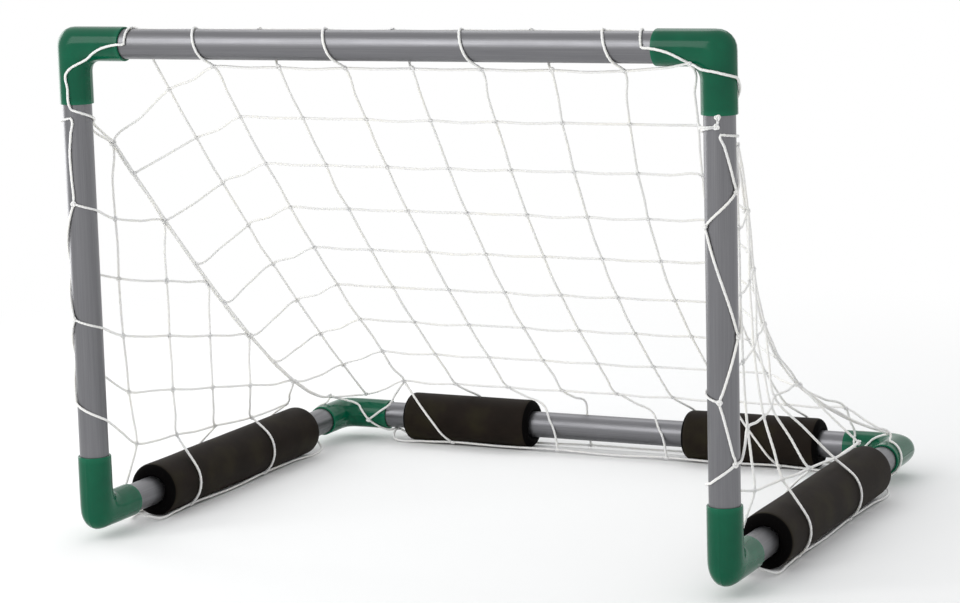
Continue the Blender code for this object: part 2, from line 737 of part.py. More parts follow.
def rear_corner(net, side):
    """Where the seam ends, cords cross the rear elbow to the border under the tube."""
    bare, arm, foam = rear_round(TUBE_RADIUS), rear_round(ELBOW_RADIUS), rear_round(FLOAT_RADIUS)
    lip = HALF_WIDTH - ELBOW_ARM
    column = 0
    if side == RIGHT:
        column = COLUMNS
        net.knot((column, BACK_ROWS), back_point(column, BACK_ROWS), KNOT_RISE)
        net.line([(column - 1, BACK_ROWS), (column, BACK_ROWS), ("seam", RIGHT, BACK_ROWS - 1)])
    net.strand(("end", side), (column, BACK_ROWS))
    dip, near = (side * (lip + 17 * MM), -13), (side * (lip + 29 * MM), 40)
    edge = (side * (lip - 1 * MM), -70)
    net.knot(("dip", side), arm.at(*dip))
    corner = Vector((side * (HALF_WIDTH - 9 * MM), GOAL_DEPTH - 20 * MM, ELBOW_RADIUS + 2 * MM))
    net.strand(("end", side), ("dip", side), [Spot(corner), arm.at(*near), *arm.turn(near, dip)])
    net.strand(("dip", side), ("under", side), [*arm.turn(dip, edge), arm.at(*edge)])
    if side == LEFT:
        up = [arm.at(-lip - 5 * MM, 20), bare.at(6 * MM - lip, 45, 5 * MM), foam.at(11 * MM - lip, 62)]
        net.strand(("dip", side), (1, BACK_ROWS), up)
    else:
        up = [arm.at(lip + 12 * MM, 20), arm.at(lip + 12 * MM, 50, 3 * MM)]
        net.strand(("dip", side), (column, BACK_ROWS), up)


def back_panel():
    net = Net(Y + Z)
    back_grid(net)
    crossbar_border(net)
    for side in (LEFT, RIGHT):
        top_corner(net, side)
        back_seam(net, side)
    rear_foot(net)
    for side in (LEFT, RIGHT):
        rear_corner(net, side)
    return net.mesh("net_back")


def facing(first, second):
    """The turn that takes an elbow's X arm to first and its Z arm to second."""
    return Matrix((first, second.cross(first), second)).transposed()


def make_frame():
    tube = material("satin_grey_tube", "9A9A9C", 0.35, 0.8)
    plastic = material("green_moulded_plastic", "0B6A48", 0.3)
    bottom_left, bottom_right = X * -HALF_WIDTH, X * HALF_WIDTH
    back = Y * GOAL_DEPTH
    up = Z * GOAL_HEIGHT
    seat = 2 * (ELBOW_STOP + FIT)
    along_x = facing(Z, X)
    along_y = facing(X, Y)
    post = tube_mesh("post", GOAL_HEIGHT - seat)
    across = tube_mesh("crossbar", GOAL_WIDTH - seat)
    base = tube_mesh("side_tube", GOAL_DEPTH - seat)
    make_object("post_left", post, tube, bottom_left + up / 2)
    make_object("post_right", post, tube, bottom_right + up / 2)
    make_object("crossbar", across, tube, up, along_x)
    make_object("rear_tube", across, tube, back, along_x)
    make_object("side_tube_left", base, tube, bottom_left + back / 2, along_y)
    make_object("side_tube_right", base, tube, bottom_right + back / 2, along_y)
    elbow = elbow_mesh()
    corners = {
        "elbow_top_left": (bottom_left + up, X, -Z),
        "elbow_top_right": (bottom_right + up, -X, -Z),
        "elbow_front_left": (bottom_left, Y, Z),
        "elbow_front_right": (bottom_right, Y, Z),
        "elbow_rear_left": (bottom_left + back, X, -Y),
        "elbow_rear_right": (bottom_right + back, -X, -Y),
    }
    for name, (place, first, second) in corners.items():
        make_object(name, elbow, plastic, place, facing(first, second))


def make_floats():
    foam = material("charcoal_foam", "2A2825", 0.85)
    long_foam = float_mesh("side_float", SIDE_FLOAT_LENGTH)
    short_foam = float_mesh("rear_float", REAR_FLOAT_LENGTH)
    for side, name in ((LEFT, "left"), (RIGHT, "right")):
        middle = SIDE_FLOAT_START + SIDE_FLOAT_LENGTH / 2
        make_object(f"float_side_{name}", long_foam, foam, Vector((side * HALF_WIDTH, middle, 0)))
        inset = HALF_WIDTH - REAR_FLOAT_START - REAR_FLOAT_LENGTH / 2
        quarter = Matrix.Rotation(radians(90), 3, "Z")
        make_object(f"float_rear_{name}", short_foam, foam, Vector((side * inset, GOAL_DEPTH, 0)), quarter)


def make_net():
    cord = material("white_net_cord", "E9E8E4", 0.7)
    make_object("net_back", back_panel(), cord, Vector())
    make_object("net_left", side_panel(LEFT), cord, Vector())
    make_object("net_right", side_panel(RIGHT), cord, Vector())


clear_scene()
goal_frame = bpy.data.objects.new("goal_frame", None)
bpy.context.scene.collection.objects.link(goal_frame)
make_frame()
make_floats()
make_net()

# The finished goal stands on its floats, with its origin under the middle of its box.
bpy.context.view_layer.update()
solids = [piece for piece in bpy.data.objects if piece.type == "MESH"]
reach = [(piece.matrix_world @ corner.co).y for piece in solids for corner in piece.data.vertices]
goal_frame.location = (0, -(min(reach) + max(reach)) / 2, BASE_RISE)
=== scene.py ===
# %% [markdown]
# # A small soccer goal for the pool
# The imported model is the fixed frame: it says where every tube, elbow, float and panel of net is. This
# lesson dresses it. Each piece is built again with the detail that shows, stands for one solid of the
# frame, and rides on the body that this solid belongs to.

# %% Load the frame
from math import acos, atan2, ceil, cos, degrees, hypot, pi, radians, sin, sqrt, tau
from random import Random
from typing import NamedTuple

import bmesh
import bpy
import numpy as np
from mathutils import Matrix, Vector


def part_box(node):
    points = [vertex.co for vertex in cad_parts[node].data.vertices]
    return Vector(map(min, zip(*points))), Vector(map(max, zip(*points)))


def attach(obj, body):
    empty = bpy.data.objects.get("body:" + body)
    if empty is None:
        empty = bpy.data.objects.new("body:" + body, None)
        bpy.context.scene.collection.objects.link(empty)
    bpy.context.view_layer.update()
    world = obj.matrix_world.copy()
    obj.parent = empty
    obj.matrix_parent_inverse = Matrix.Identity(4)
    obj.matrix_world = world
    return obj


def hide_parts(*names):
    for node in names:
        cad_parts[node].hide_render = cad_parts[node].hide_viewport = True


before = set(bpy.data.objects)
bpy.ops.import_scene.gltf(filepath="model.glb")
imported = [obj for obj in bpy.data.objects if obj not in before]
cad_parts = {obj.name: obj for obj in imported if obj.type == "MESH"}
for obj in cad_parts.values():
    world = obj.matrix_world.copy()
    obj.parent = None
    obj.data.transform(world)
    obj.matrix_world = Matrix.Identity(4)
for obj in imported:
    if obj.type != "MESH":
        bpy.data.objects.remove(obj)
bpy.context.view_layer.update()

MM = 0.001
X, Y, Z = Vector((1, 0, 0)), Vector((0, 1, 0)), Vector((0, 0, 1))

# %% [markdown]
# The whole scene is measured from one point, as the maker's drawing is: half way between the posts, in
# the plane of their axes, at the height of the base tubes' axes. The sizes could be typed in here. They
# are measured on the frame's own solids, so that they always agree with it.

# %% Find the origin of the drawing and the real sizes
def middle(node):
    low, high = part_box(node)
    return (low + high) / 2


def size(node):
    low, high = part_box(node)
    return high - low


posts = middle("post_left"), middle("post_right")
ORIGIN = Vector(((posts[0].x + posts[1].x) / 2, posts[0].y, middle("side_tube_left").z))
HALF_WIDTH = (posts[1].x - posts[0].x) / 2
GOAL_HEIGHT = middle("crossbar").z - ORIGIN.z
GOAL_DEPTH = middle("rear_tube").y - ORIGIN.y
TUBE_RADIUS = round(size("crossbar").z / 2 / MM, 1) * MM
print(f"goal {2 * HALF_WIDTH:.3f} m wide, {GOAL_HEIGHT:.3f} high, {GOAL_DEPTH:.3f} deep between tube axes")

# %% [markdown]
# ## Camera
# The picture is taken from the goal's right, a little above it, with a long lens: the far tubes look
# almost as thick as the near ones. Its place and angles were found by matching the goal's corners with
# the picture's. A constraint could aim it, but it also rolls a little, so its matrix is written out. A
# camera in Blender looks down its own -Z, so the matrix is made of the picture's right, its up and the
# reverse of its line of sight.

# %% Place the camera
CAMERA_PLACE = Vector((1.0278, -1.9916, 0.5553))
CAMERA_AZIMUTH = radians(25.40)
CAMERA_DIP = radians(9.18)
CAMERA_ROLL = radians(-1.56)
LENS_MM = 106.26
FAR = 200  # metres, past the edge of the floor

level = Vector((cos(CAMERA_AZIMUTH), sin(CAMERA_AZIMUTH), 0))
sight = Z.cross(level) * cos(CAMERA_DIP) - Z * sin(CAMERA_DIP)
upright = level.cross(sight)
right = level * cos(CAMERA_ROLL) + upright * sin(CAMERA_ROLL)
up = upright * cos(CAMERA_ROLL) - level * sin(CAMERA_ROLL)
lens = bpy.data.cameras.new("camera")
lens.lens = LENS_MM
lens.clip_end = FAR
camera = bpy.data.objects.new("camera", lens)
bpy.context.scene.collection.objects.link(camera)
turn = Matrix((right, up, -sight)).transposed().to_4x4()
camera.matrix_world = Matrix.Translation(ORIGIN + CAMERA_PLACE) @ turn
bpy.context.scene.camera = camera
print("camera at", [round(v, 3) for v in camera.location])

# %% [markdown]
# ## Helpers for materials
# A colour is written as the sRGB hex that a paint program shows, and a shader wants linear light, so one
# function turns the first into the second. Another adds a node of any kind with its settings, its links
# and, for a colour ramp, its stops.

# %% Helpers for materials
def linear(hex_code):
    levels = [int(hex_code[i : i + 2], 16) / 255 for i in (1, 3, 5)]
    return (*[v / 12.92 if v <= 0.04045 else ((v + 0.055) / 1.055) ** 2.4 for v in levels], 1.0)


def join(tree, node, links):
    """Links each source to the node's input of that name or number."""
    for name, source in dict(links).items():
        tree.links.new(source, node.inputs[int(name)] if name.isdigit() else node.inputs[name])


def add_node(tree, kind, settings=(), links=(), stops=()):
    """A node of this kind. settings are its attributes or, by the name or number of an input, that
    input's value. stops are a colour ramp's places and sRGB hex colours."""
    node = tree.nodes.new(kind)
    for name, value in dict(settings).items():
        if name in node.inputs:
            node.inputs[name].default_value = value
        elif hasattr(node, name):
            setattr(node, name, value)
        else:
            node.inputs[int(name)].default_value = value
    join(tree, node, links)
    for _ in stops[2:]:
        node.color_ramp.elements.new(0.5)
    for number, (place, colour) in enumerate(stops):
        stop = node.color_ramp.elements[number]
        stop.position, stop.color = place, linear(colour)
    return node


def new_material(name, colour, roughness, metallic=0.0, ior=1.5, specular=0.5):
    finish = bpy.data.materials.new(name)
    finish.use_nodes = True
    shader = finish.node_tree.nodes["Principled BSDF"]
    shader.inputs["Base Color"].default_value = linear(colour)
    shader.inputs["Roughness"].default_value = roughness
    shader.inputs["Metallic"].default_value = metallic
    shader.inputs["IOR"].default_value = ior
    shader.inputs["Specular IOR Level"].default_value = specular
    finish.diffuse_color = linear(colour)
    return finish, finish.node_tree, shader


print("a middle grey of sRGB is linear", round(linear("#808080")[0], 3))

# %% [markdown]
# ## Floor and light
# The goal stands on a white sheet in a white studio. A sheet that curves up behind would need strong
# lamps to look white. Here the floor is flat: it takes the soft shadow near the goal, and further out it
# turns to plain white for the camera and in reflections, as the world behind it does, so that no horizon
# shows and no lamp has to be strong.

# %% The rays that see the white background
def background_rays(tree):
    """1 for what the camera, a reflection or clear material shows, and 0 for the light on the object."""
    path = add_node(tree, "ShaderNodeLightPath")
    seen = path.outputs["Is Camera Ray"]
    for ray in ("Is Glossy Ray", "Is Transmission Ray"):
        either = add_node(
            tree, "ShaderNodeMath", {"operation": "MAXIMUM"}, {"0": seen, "1": path.outputs[ray]}
        )
        seen = either.outputs[0]
    return seen


# %% Finish: the white sheet
WHITE_FROM, WHITE_TO = 0.45, 1.3  # metres from the middle of the goal

floor_finish, tree, shader = new_material("studio_floor", "#FBFBFA", 0.9, specular=0.1)
position = add_node(tree, "ShaderNodeTexCoord").outputs["Object"]
distance = add_node(tree, "ShaderNodeVectorMath", {"operation": "LENGTH"}, {"0": position})
fade = add_node(
    tree,
    "ShaderNodeMapRange",
    {"interpolation_type": "SMOOTHSTEP", "From Min": WHITE_FROM, "From Max": WHITE_TO},
    {"Value": distance.outputs["Value"]},
)
share = add_node(
    tree,
    "ShaderNodeMath",
    {"operation": "MULTIPLY"},
    {"0": background_rays(tree), "1": fade.outputs["Result"]},
)
white = add_node(tree, "ShaderNodeEmission", {"Color": (1, 1, 1, 1), "Strength": 1.0})
mix = add_node(
    tree,
    "ShaderNodeMixShader",
    links={"Fac": share.outputs[0], "1": shader.outputs["BSDF"], "2": white.outputs["Emission"]},
)
join(tree, tree.nodes["Material Output"], {"Surface": mix.outputs[0]})
print("finish:", floor_finish.name)

# %% Floor
FLOOR_RADIUS = 60.0
FLOOR_SIDES = 96
FLOOR_DROP = 0.0007  # just under the lowest twine

bm = bmesh.new()
bmesh.ops.create_circle(bm, cap_ends=True, radius=FLOOR_RADIUS, segments=FLOOR_SIDES)
floor_mesh = bpy.data.meshes.new("floor")
bm.to_mesh(floor_mesh)
bm.free()
floor_mesh.materials.append(floor_finish)
floor = bpy.data.objects.new("floor", floor_mesh)
bpy.context.scene.collection.objects.link(floor)
floor.location.z = -FLOOR_DROP
print("floor disc, radius", FLOOR_RADIUS, "m")

# %% [markdown]
# The light is that of a product photograph, and most of it comes evenly from a pale room all round. A tall
# soft box at the left, a little behind, gives the posts their light left edge. It stands on the floor,
# because a camera that looks down sees the low part of a room in an upright tube. A tall one in front and
# above, over to the left, gives the crossbar the broad light stripe along its middle, and the glossy elbow
# beside it a sharper one. One overhead, from behind, lights the top edges and puts the faint shadows under
# the goal. Together they light a white surface to about white, so a colour renders about as it is written.

# %% The world's even light
AMBIENT = 0.76  # the room's light on the goal, where the white behind it is 1

world = bpy.data.worlds.new("studio")
bpy.context.scene.world = world
world.use_nodes = True
tree = world.node_tree
ambient = tree.nodes["Background"]
ambient.inputs["Color"].default_value = linear("#F6F7F9")
ambient.inputs["Strength"].default_value = AMBIENT
backdrop = add_node(tree, "ShaderNodeBackground", {"Color": (1, 1, 1, 1), "Strength": 1.0})
mix = add_node(
    tree,
    "ShaderNodeMixShader",
    links={
        "Fac": background_rays(tree),
        "1": ambient.outputs["Background"],
        "2": backdrop.outputs["Background"],
    },
)
join(tree, tree.nodes["World Output"], {"Surface": mix.outputs[0]})
print("world:", world.name, "at", AMBIENT)


# %% Lamps
def soft_lamp(name, place, aim, width, height, radiance):
    """A soft box; radiance is its brightness in reflections, where the white floor's is 1."""
    lamp = bpy.data.lights.new(name, "AREA")
    lamp.shape = "RECTANGLE"
    lamp.size, lamp.size_y = width, height
    lamp.energy = radiance * pi * width * height
    holder = bpy.data.objects.new(name, lamp)
    bpy.context.scene.collection.objects.link(holder)
    holder.location = place
    holder.rotation_euler = (Vector(aim) - Vector(place)).to_track_quat("-Z", "Y").to_euler()
    holder.visible_camera = False


soft_lamp("lamp_left", (-1.42, 0.25, 0.5), (0, 0, 0.5), width=0.8, height=1.0, radiance=2.7)
soft_lamp("lamp_front", (-0.95, -1.9, 1.35), (0, 0, 0.3), width=1.7, height=1.3, radiance=3.1)
soft_lamp("lamp_over", (-0.4, 1.3, 1.9), (0, 0, 0.2), width=2.0, height=0.9, radiance=1.4)
bpy.context.scene.view_settings.view_transform = "Standard"

# %% [markdown]
# ## Putting pieces in place
# Every piece is a mesh made in code. One helper puts it in the scene, lets it ride on its body, gives it
# its finishes and hides the solid it stands for. Another skins a stack of rings, which is how the tubes,
# the elbows and the floats are made: it gives clean quads all over, where a boolean of cylinders would
# leave long thin faces that shade badly.

# %% Helpers for pieces
def new_piece(name, mesh, finishes, body, node, place=Matrix()):
    """Puts a mesh in the scene as the piece that stands for one solid of the frame."""
    for finish in finishes:
        if finish.name not in mesh.materials:
            mesh.materials.append(finish)
    piece = bpy.data.objects.new(name, mesh)
    bpy.context.scene.collection.objects.link(piece)
    piece.matrix_world = place
    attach(piece, body)
    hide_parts(node)
    return piece


def ring_mesh(name, rings, closed=False, sharp=40, slots=None):
    """A smooth mesh from rings of as many points, joined with quads; closed joins the last to the first,
    otherwise both ends are capped. An edge of over sharp degrees stays sharp. slots gives the material
    slot of each band of quads."""
    bm = bmesh.new()
    made = [[bm.verts.new(point) for point in ring] for ring in rings]
    pairs = list(zip(made, made[1:] + made[:1] if closed else made[1:]))
    for band, (ring, following) in enumerate(pairs):
        for i in range(len(ring)):
            j = (i + 1) % len(ring)
            face = bm.faces.new((ring[i], ring[j], following[j], following[i]))
            face.material_index = slots[band] if slots else 0
    if not closed:
        bm.faces.new(made[0])
        bm.faces.new(made[-1])
    bmesh.ops.recalc_face_normals(bm, faces=bm.faces)
    mesh = bpy.data.meshes.new(name)
    bm.to_mesh(mesh)
    bm.free()
    mesh.shade_smooth()
    mesh.set_sharp_from_angle(angle=radians(sharp))
    return mesh


def circle(radius, height, count):
    """Points round Z at a height."""
    turns = [tau * i / count for i in range(count)]
    return [Vector((radius * cos(a), radius * sin(a), height)) for a in turns]


def turned(first, second, place):
    """The place of a piece whose own X points to first and whose Z points to second."""
    return Matrix.Translation(place) @ Matrix((first, second.cross(first), second)).transposed().to_4x4()


# %% [markdown]
# ## The tubes
# The six tubes are drawn aluminium, 25 mm across, with a thin natural anodised coat. Drawing leaves very
# fine lines along the tube, which blur its reflections across but not along: a soft grey metal with a
# light stripe where a lamp is. The shader's own anisotropy would blur them so too, but it draws no lines.
# A noise stretched along the tube gives both. The lines are finer than the picture can show, so they are
# drawn about ten times as coarse. A little dull handling wear changes the roughness in patches of a few
# centimetres.

# %% Finish: anodised aluminium, drawn
LINE_SPACING = 0.9 * MM
LINE_SQUASH = 0.012  # the width of a line over its length
PATCH = 35 * MM
GREYS = (0.2, "#6D6D70"), (0.5, "#767679"), (0.8, "#7F7F81")

aluminium, tree, shader = new_material("anodised_aluminium_drawn", "#767679", 0.37, metallic=0.95)
position = add_node(tree, "ShaderNodeTexCoord").outputs["Object"]
squashed = add_node(tree, "ShaderNodeMapping", {"Scale": (1, 1, LINE_SQUASH)}, {"Vector": position})
lines = add_node(
    tree,
    "ShaderNodeTexNoise",
    {"Scale": 1 / LINE_SPACING, "Detail": 4.0, "Roughness": 0.65},
    {"Vector": squashed.outputs["Vector"]},
)
tone = add_node(tree, "ShaderNodeValToRGB", links={"Fac": lines.outputs["Fac"]}, stops=GREYS)
patches = add_node(tree, "ShaderNodeTexNoise", {"Scale": 1 / PATCH, "Detail": 3.0}, {"Vector": position})
dull = add_node(
    tree,
    "ShaderNodeMapRange",
    {"From Min": 0.3, "From Max": 0.7, "To Min": 0.34, "To Max": 0.40},
    {"Value": patches.outputs["Fac"]},
)
relief = {"Strength": 0.1, "Distance": 0.03 * MM}
grain = add_node(tree, "ShaderNodeBump", relief, {"Height": lines.outputs["Fac"]})
join(tree, shader, {"Base Color": tone.outputs["Color"], "Roughness": dull.outputs["Result"]})
join(tree, shader, {"Normal": grain.outputs["Normal"]})
print("finish:", aluminium.name)

# %% [markdown]
# A tube could be a cylinder with a Solidify modifier. Turning one profile round an axis takes as little,
# and also breaks the edges of the rims: up the outside, over a rim, down the bore. The crossbar and the
# rear tube are alike, and so are the posts, and the side tubes, so each pair shares one mesh.

# %% Tubes
TUBE_WALL = 1.5 * MM
TUBE_FACETS = 72
RIM = 0.35 * MM


def tube_mesh(name, length):
    half, bore = length / 2, TUBE_RADIUS - TUBE_WALL
    profile = [(TUBE_RADIUS - RIM, -half), (TUBE_RADIUS, RIM - half), (TUBE_RADIUS, half - RIM)]
    profile += [(TUBE_RADIUS - RIM, half), (bore, half), (bore, -half)]
    return ring_mesh(name, [circle(radius, z, TUBE_FACETS) for radius, z in profile], closed=True)


for nodes, axis, first in (
    (("crossbar", "rear_tube"), X, Z),
    (("post_left", "post_right"), Z, X),
    (("side_tube_left", "side_tube_right"), Y, Z),
):
    shared = tube_mesh(nodes[0], size(nodes[0]).dot(axis))
    for node in nodes:
        place = turned(first, axis, middle(node))
        new_piece(f"{node}_anodised", shared, [aluminium], "frame", node, place)
    print(*nodes, "with", len(shared.polygons), "faces each")

# %% [markdown]
# ## The elbows
# Each corner is one elbow, injection moulded in green ABS, and all six come out of one mould. Moulded
# ABS is glossy where the steel was polished, with a very fine satin break-up, and it gathers a little
# dust and scuffing that makes wide highlights milky. The two halves of the mould leave a thin raised
# line all round. Handling lightens the rims of the two arms a little, within a few millimetres of where
# the tubes go in. Such wear is often found by baking the edges. On a shape as simple as this the
# distance along an arm, in the elbow's own X or Z, finds them too.

# %% Finish: moulded green ABS
CLOUD = 22 * MM
PEEL = 1.6 * MM
GREENS = (0.3, "#015038"), (0.55, "#02553B"), (0.75, "#055B40")
RIM_WEAR = (45 * MM, 50 * MM)  # from the corner's axis
WORN_GREEN, MOST_WEAR = "#1B7455", 0.35

green_abs, tree, shader = new_material("moulded_green_abs", "#025439", 0.17, ior=1.53, specular=0.18)
position = add_node(tree, "ShaderNodeTexCoord").outputs["Object"]
cloud = add_node(tree, "ShaderNodeTexNoise", {"Scale": 1 / CLOUD, "Detail": 4.0}, {"Vector": position})
tone = add_node(tree, "ShaderNodeValToRGB", links={"Fac": cloud.outputs["Fac"]}, stops=GREENS)
axes = add_node(tree, "ShaderNodeSeparateXYZ", links={"0": position})
reach = add_node(
    tree, "ShaderNodeMath", {"operation": "MAXIMUM"}, {"0": axes.outputs["X"], "1": axes.outputs["Z"]}
)
rim = add_node(
    tree,
    "ShaderNodeMapRange",
    {"From Min": RIM_WEAR[0], "From Max": RIM_WEAR[1], "To Max": MOST_WEAR},
    {"Value": reach.outputs[0]},
)
# A Mix node of colours takes them on its inputs 6 and 7, and gives its own on output 2.
worn = add_node(
    tree,
    "ShaderNodeMix",
    {"data_type": "RGBA", "7": linear(WORN_GREEN)},
    {"0": rim.outputs["Result"], "6": tone.outputs["Color"]},
)
satin = add_node(
    tree,
    "ShaderNodeMapRange",
    {"From Min": 0.35, "From Max": 0.7, "To Min": 0.13, "To Max": 0.2},
    {"Value": cloud.outputs["Fac"]},
)
peel = add_node(tree, "ShaderNodeTexNoise", {"Scale": 1 / PEEL, "Detail": 2.0}, {"Vector": position})
relief = {"Strength": 0.05, "Distance": 0.02 * MM}
skin = add_node(tree, "ShaderNodeBump", relief, {"Height": peel.outputs["Fac"]})
join(tree, shader, {"Base Color": worn.outputs[2], "Roughness": satin.outputs["Result"]})
join(tree, shader, {"Normal": skin.outputs["Normal"]})
print("finish:", green_abs.name)

# %% [markdown]
# An elbow could be two pipes joined by a boolean and bevelled, but the fillet inside the bend and the
# rounded corner outside it have different radii and run into each other. So it is one skin of rings:
# along the outside of one arm, round the bend, along the other arm, and back through both sockets. Round
# the bend each ring stands across the curve, so it is an oval that reaches from the fillet inside the
# bend to the flat walls and the rounded corner outside it.

# %% The elbow's sizes and rings
ELBOW_WALL = 1.8 * MM
ELBOW_RADIUS = TUBE_RADIUS + ELBOW_WALL
ELBOW_ARM = 50 * MM
ELBOW_STOP = 26 * MM
ELBOW_FILLET = 10 * MM
ELBOW_CORNER = 15 * MM
ELBOW_PASSAGE = 10.5 * MM
SOCKET_RADIUS = TUBE_RADIUS + 0.3 * MM
LIP_ROUND, LIP_STEPS = 0.6 * MM, 4
BEND_STEPS = 18
RING_STEPS = 44
MOULD_LINE = 0.12 * MM  # how far it stands out
MOULD_LINE_END = 1.2 * MM  # from the lip
MOULD_LINE_TURN = 0.018  # radians, to each side of it

spaced = [tau * i / RING_STEPS for i in range(RING_STEPS)]
beside_line = [line + turn for line in (0, pi, tau) for turn in (-MOULD_LINE_TURN, MOULD_LINE_TURN)]
RING_TURNS = [a for a in sorted({*spaced, *beside_line}) if 0 <= a < tau]


def elbow_ring(centre, across, half_across, half_out, line=0.0):
    """An oval with the mould's line standing out by line where it crosses the plane of both arms."""
    points = []
    for a in RING_TURNS:
        lift = line if abs(sin(a)) < MOULD_LINE_TURN / 2 else 0.0
        points.append(centre + across * (half_across + lift) * cos(a) + Y * (half_out + lift) * sin(a))
    return points


def bend_reach(angle, wall):
    """From the bend's pivot to the outside, where two walls at this distance meet in a rounded corner."""
    sharp_corner = wall / max(cos(angle), sin(angle))
    if sharp_corner * min(cos(angle), sin(angle)) <= wall - ELBOW_CORNER:
        return sharp_corner
    inset = wall - ELBOW_CORNER
    toward = inset * (cos(angle) + sin(angle))
    return toward + sqrt(toward**2 - 2 * inset**2 + ELBOW_CORNER**2)


print("points in a ring of the elbow:", len(RING_TURNS))


# %% The elbow's skin
def elbow_mesh():
    """Its corner axis at the origin, its arms along X and Z."""
    pivot_out = ELBOW_RADIUS + ELBOW_FILLET
    pivot = (X + Z) * pivot_out

    def arm(along, inward, distance, radius, line=0.0):
        return elbow_ring(along * distance, inward, radius, radius, line)

    def bend(angle, near, far, line=0.0):
        out = -X * cos(angle) - Z * sin(angle)
        half = (far - near) / 2
        return elbow_ring(pivot + out * (near + far) / 2, -out, half, min(ELBOW_RADIUS, half), line)

    def lip(along, inward):
        turns = [radians(90) * i / LIP_STEPS for i in range(LIP_STEPS + 1)]
        return [
            arm(along, inward, ELBOW_ARM - LIP_ROUND * (1 - cos(a)), ELBOW_RADIUS - LIP_ROUND * (1 - sin(a)))
            for a in turns
        ]

    line_end = (ELBOW_ARM - MOULD_LINE_END, ELBOW_RADIUS, MOULD_LINE)
    rings = [*lip(Z, X), arm(Z, X, *line_end)]
    for step in range(BEND_STEPS + 1):
        angle = radians(90) * step / BEND_STEPS
        rings.append(bend(angle, ELBOW_FILLET, bend_reach(angle, pivot_out + ELBOW_RADIUS), MOULD_LINE))
    rings += [arm(X, Z, *line_end), *reversed(lip(X, Z))]
    socket = [(ELBOW_ARM, SOCKET_RADIUS), (ELBOW_STOP, SOCKET_RADIUS), (ELBOW_STOP, ELBOW_PASSAGE)]
    rings += [arm(X, Z, *step) for step in socket]
    for angle in (90, 60, 30, 0):
        rings.append(bend(radians(angle), pivot_out - ELBOW_PASSAGE, pivot_out + ELBOW_PASSAGE))
    rings += [arm(Z, X, *step) for step in reversed(socket)]
    return ring_mesh("elbow", rings, closed=True, sharp=50)


elbow = elbow_mesh()
print("faces in the elbow:", len(elbow.polygons))

# %% Elbows
left_side, right_side = -X * HALF_WIDTH, X * HALF_WIDTH
rise, back = Z * GOAL_HEIGHT, Y * GOAL_DEPTH
for node, place, first, second in (
    ("elbow_top_left", left_side + rise, X, -Z),
    ("elbow_top_right", right_side + rise, -X, -Z),
    ("elbow_front_left", left_side, Y, Z),
    ("elbow_front_right", right_side, Y, Z),
    ("elbow_rear_left", left_side + back, X, -Y),
    ("elbow_rear_right", right_side + back, -X, -Y),
):
    corner = turned(first, second, ORIGIN + place)
    new_piece(f"{node}_moulded", elbow, [green_abs], "frame", node, corner)

# %% [markdown]
# ## The floats
# The four floats are sleeves of closed-cell foam, the kind that pipes are wrapped in, charcoal with a
# brown and olive cast. Extruded foam has a thin matt skin with a faint pebbled grain, and is never quite
# straight or round. The ends are cut foam, coloured near-black: painted shade, for the shadow on the end
# faces and in their open cells. Cells of half a millimetre can't show at this distance, so the grain is
# drawn about three times as coarse. It is bump alone: real cells would take millions of faces.

# %% Finish: foam skin, and cut foam with painted shade
CELL = 1.5 * MM
CUT_CELL = CELL * 0.6
CAST_PATCH = 30 * MM
BROWNS = (0.3, "#18130F"), (0.5, "#1E1813"), (0.72, "#272317")

foam_skin, tree, shader = new_material("closed_cell_foam_skin", "#1D1712", 0.62, specular=0.07)
position = add_node(tree, "ShaderNodeTexCoord").outputs["Object"]
cast = add_node(tree, "ShaderNodeTexNoise", {"Scale": 1 / CAST_PATCH, "Detail": 5.0}, {"Vector": position})
tone = add_node(tree, "ShaderNodeValToRGB", links={"Fac": cast.outputs["Fac"]}, stops=BROWNS)
cells = add_node(tree, "ShaderNodeTexVoronoi", {"Scale": 1 / CELL}, {"Vector": position})
relief = {"Strength": 0.35, "Distance": 0.12 * MM}
pebble = add_node(tree, "ShaderNodeBump", relief, {"Height": cells.outputs["Distance"]})
join(tree, shader, {"Base Color": tone.outputs["Color"], "Normal": pebble.outputs["Normal"]})

# The cut ends are near-black: painted shade, for the shadow on the end faces and in their open cells.
cut_foam_painted_shade, tree, shader = new_material("closed_cell_foam_cut_painted_shade", "#060505", 0.9, specular=0.05)
position = add_node(tree, "ShaderNodeTexCoord").outputs["Object"]
cells = add_node(tree, "ShaderNodeTexVoronoi", {"Scale": 1 / CUT_CELL}, {"Vector": position})
relief = {"Strength": 0.6, "Distance": 0.25 * MM}
pits = add_node(tree, "ShaderNodeBump", relief, {"Height": cells.outputs["Distance"]})
join(tree, shader, {"Normal": pits.outputs["Normal"]})
print("finishes:", foam_skin.name, cut_foam_painted_shade.name)

# %% [markdown]
# A simulation could swell the foam, but a sleeve this stiff shows no folds, so a float is turned like a
# tube. It has many rings, so that its skin can wander by a few tenths of a millimetre: slow sine waves
# along and round it, other ones for each float. Its own Z is its axis, and the skin that touches the
# floor is pressed flat.

# %% A float's mesh
FLOAT_RADIUS = 23.5 * MM
FLOAT_BORE = SOCKET_RADIUS  # it slides on the tube with as much play as an elbow has
FLOAT_EDGE = 6 * MM
EDGE_BANDS = 7
# These bands of each rounded edge, like the cut ends, take the near-black of painted shade.
SHADED_CUT_BANDS = 5  # of each rounded edge, which the knife that cut the end has opened
FLOAT_FACETS = 64
FLOAT_STEP = 5 * MM
WANDER = 0.22 * MM
WAVES = 5
WAVE_PACE, WAVE_LOBES = (25, 90), (1, 4)  # radians in a metre of length, and waves in a turn
FLOOR_FLAT = ORIGIN.z  # the floor's distance below the axis of every base tube
FLOOR_GAP = 0.02 * MM
FLOAT_DOWN = -X  # the way to the floor in a float's own axes
CUT_RINGS = (  # the radius of each ring of a cut end, and how deep the end is dished there
    (FLOAT_RADIUS - FLOAT_EDGE - 0.4 * MM, 0.0),
    (FLOAT_BORE + 1.2 * MM, 0.5 * MM),
    (FLOAT_BORE, 1.6 * MM),
)


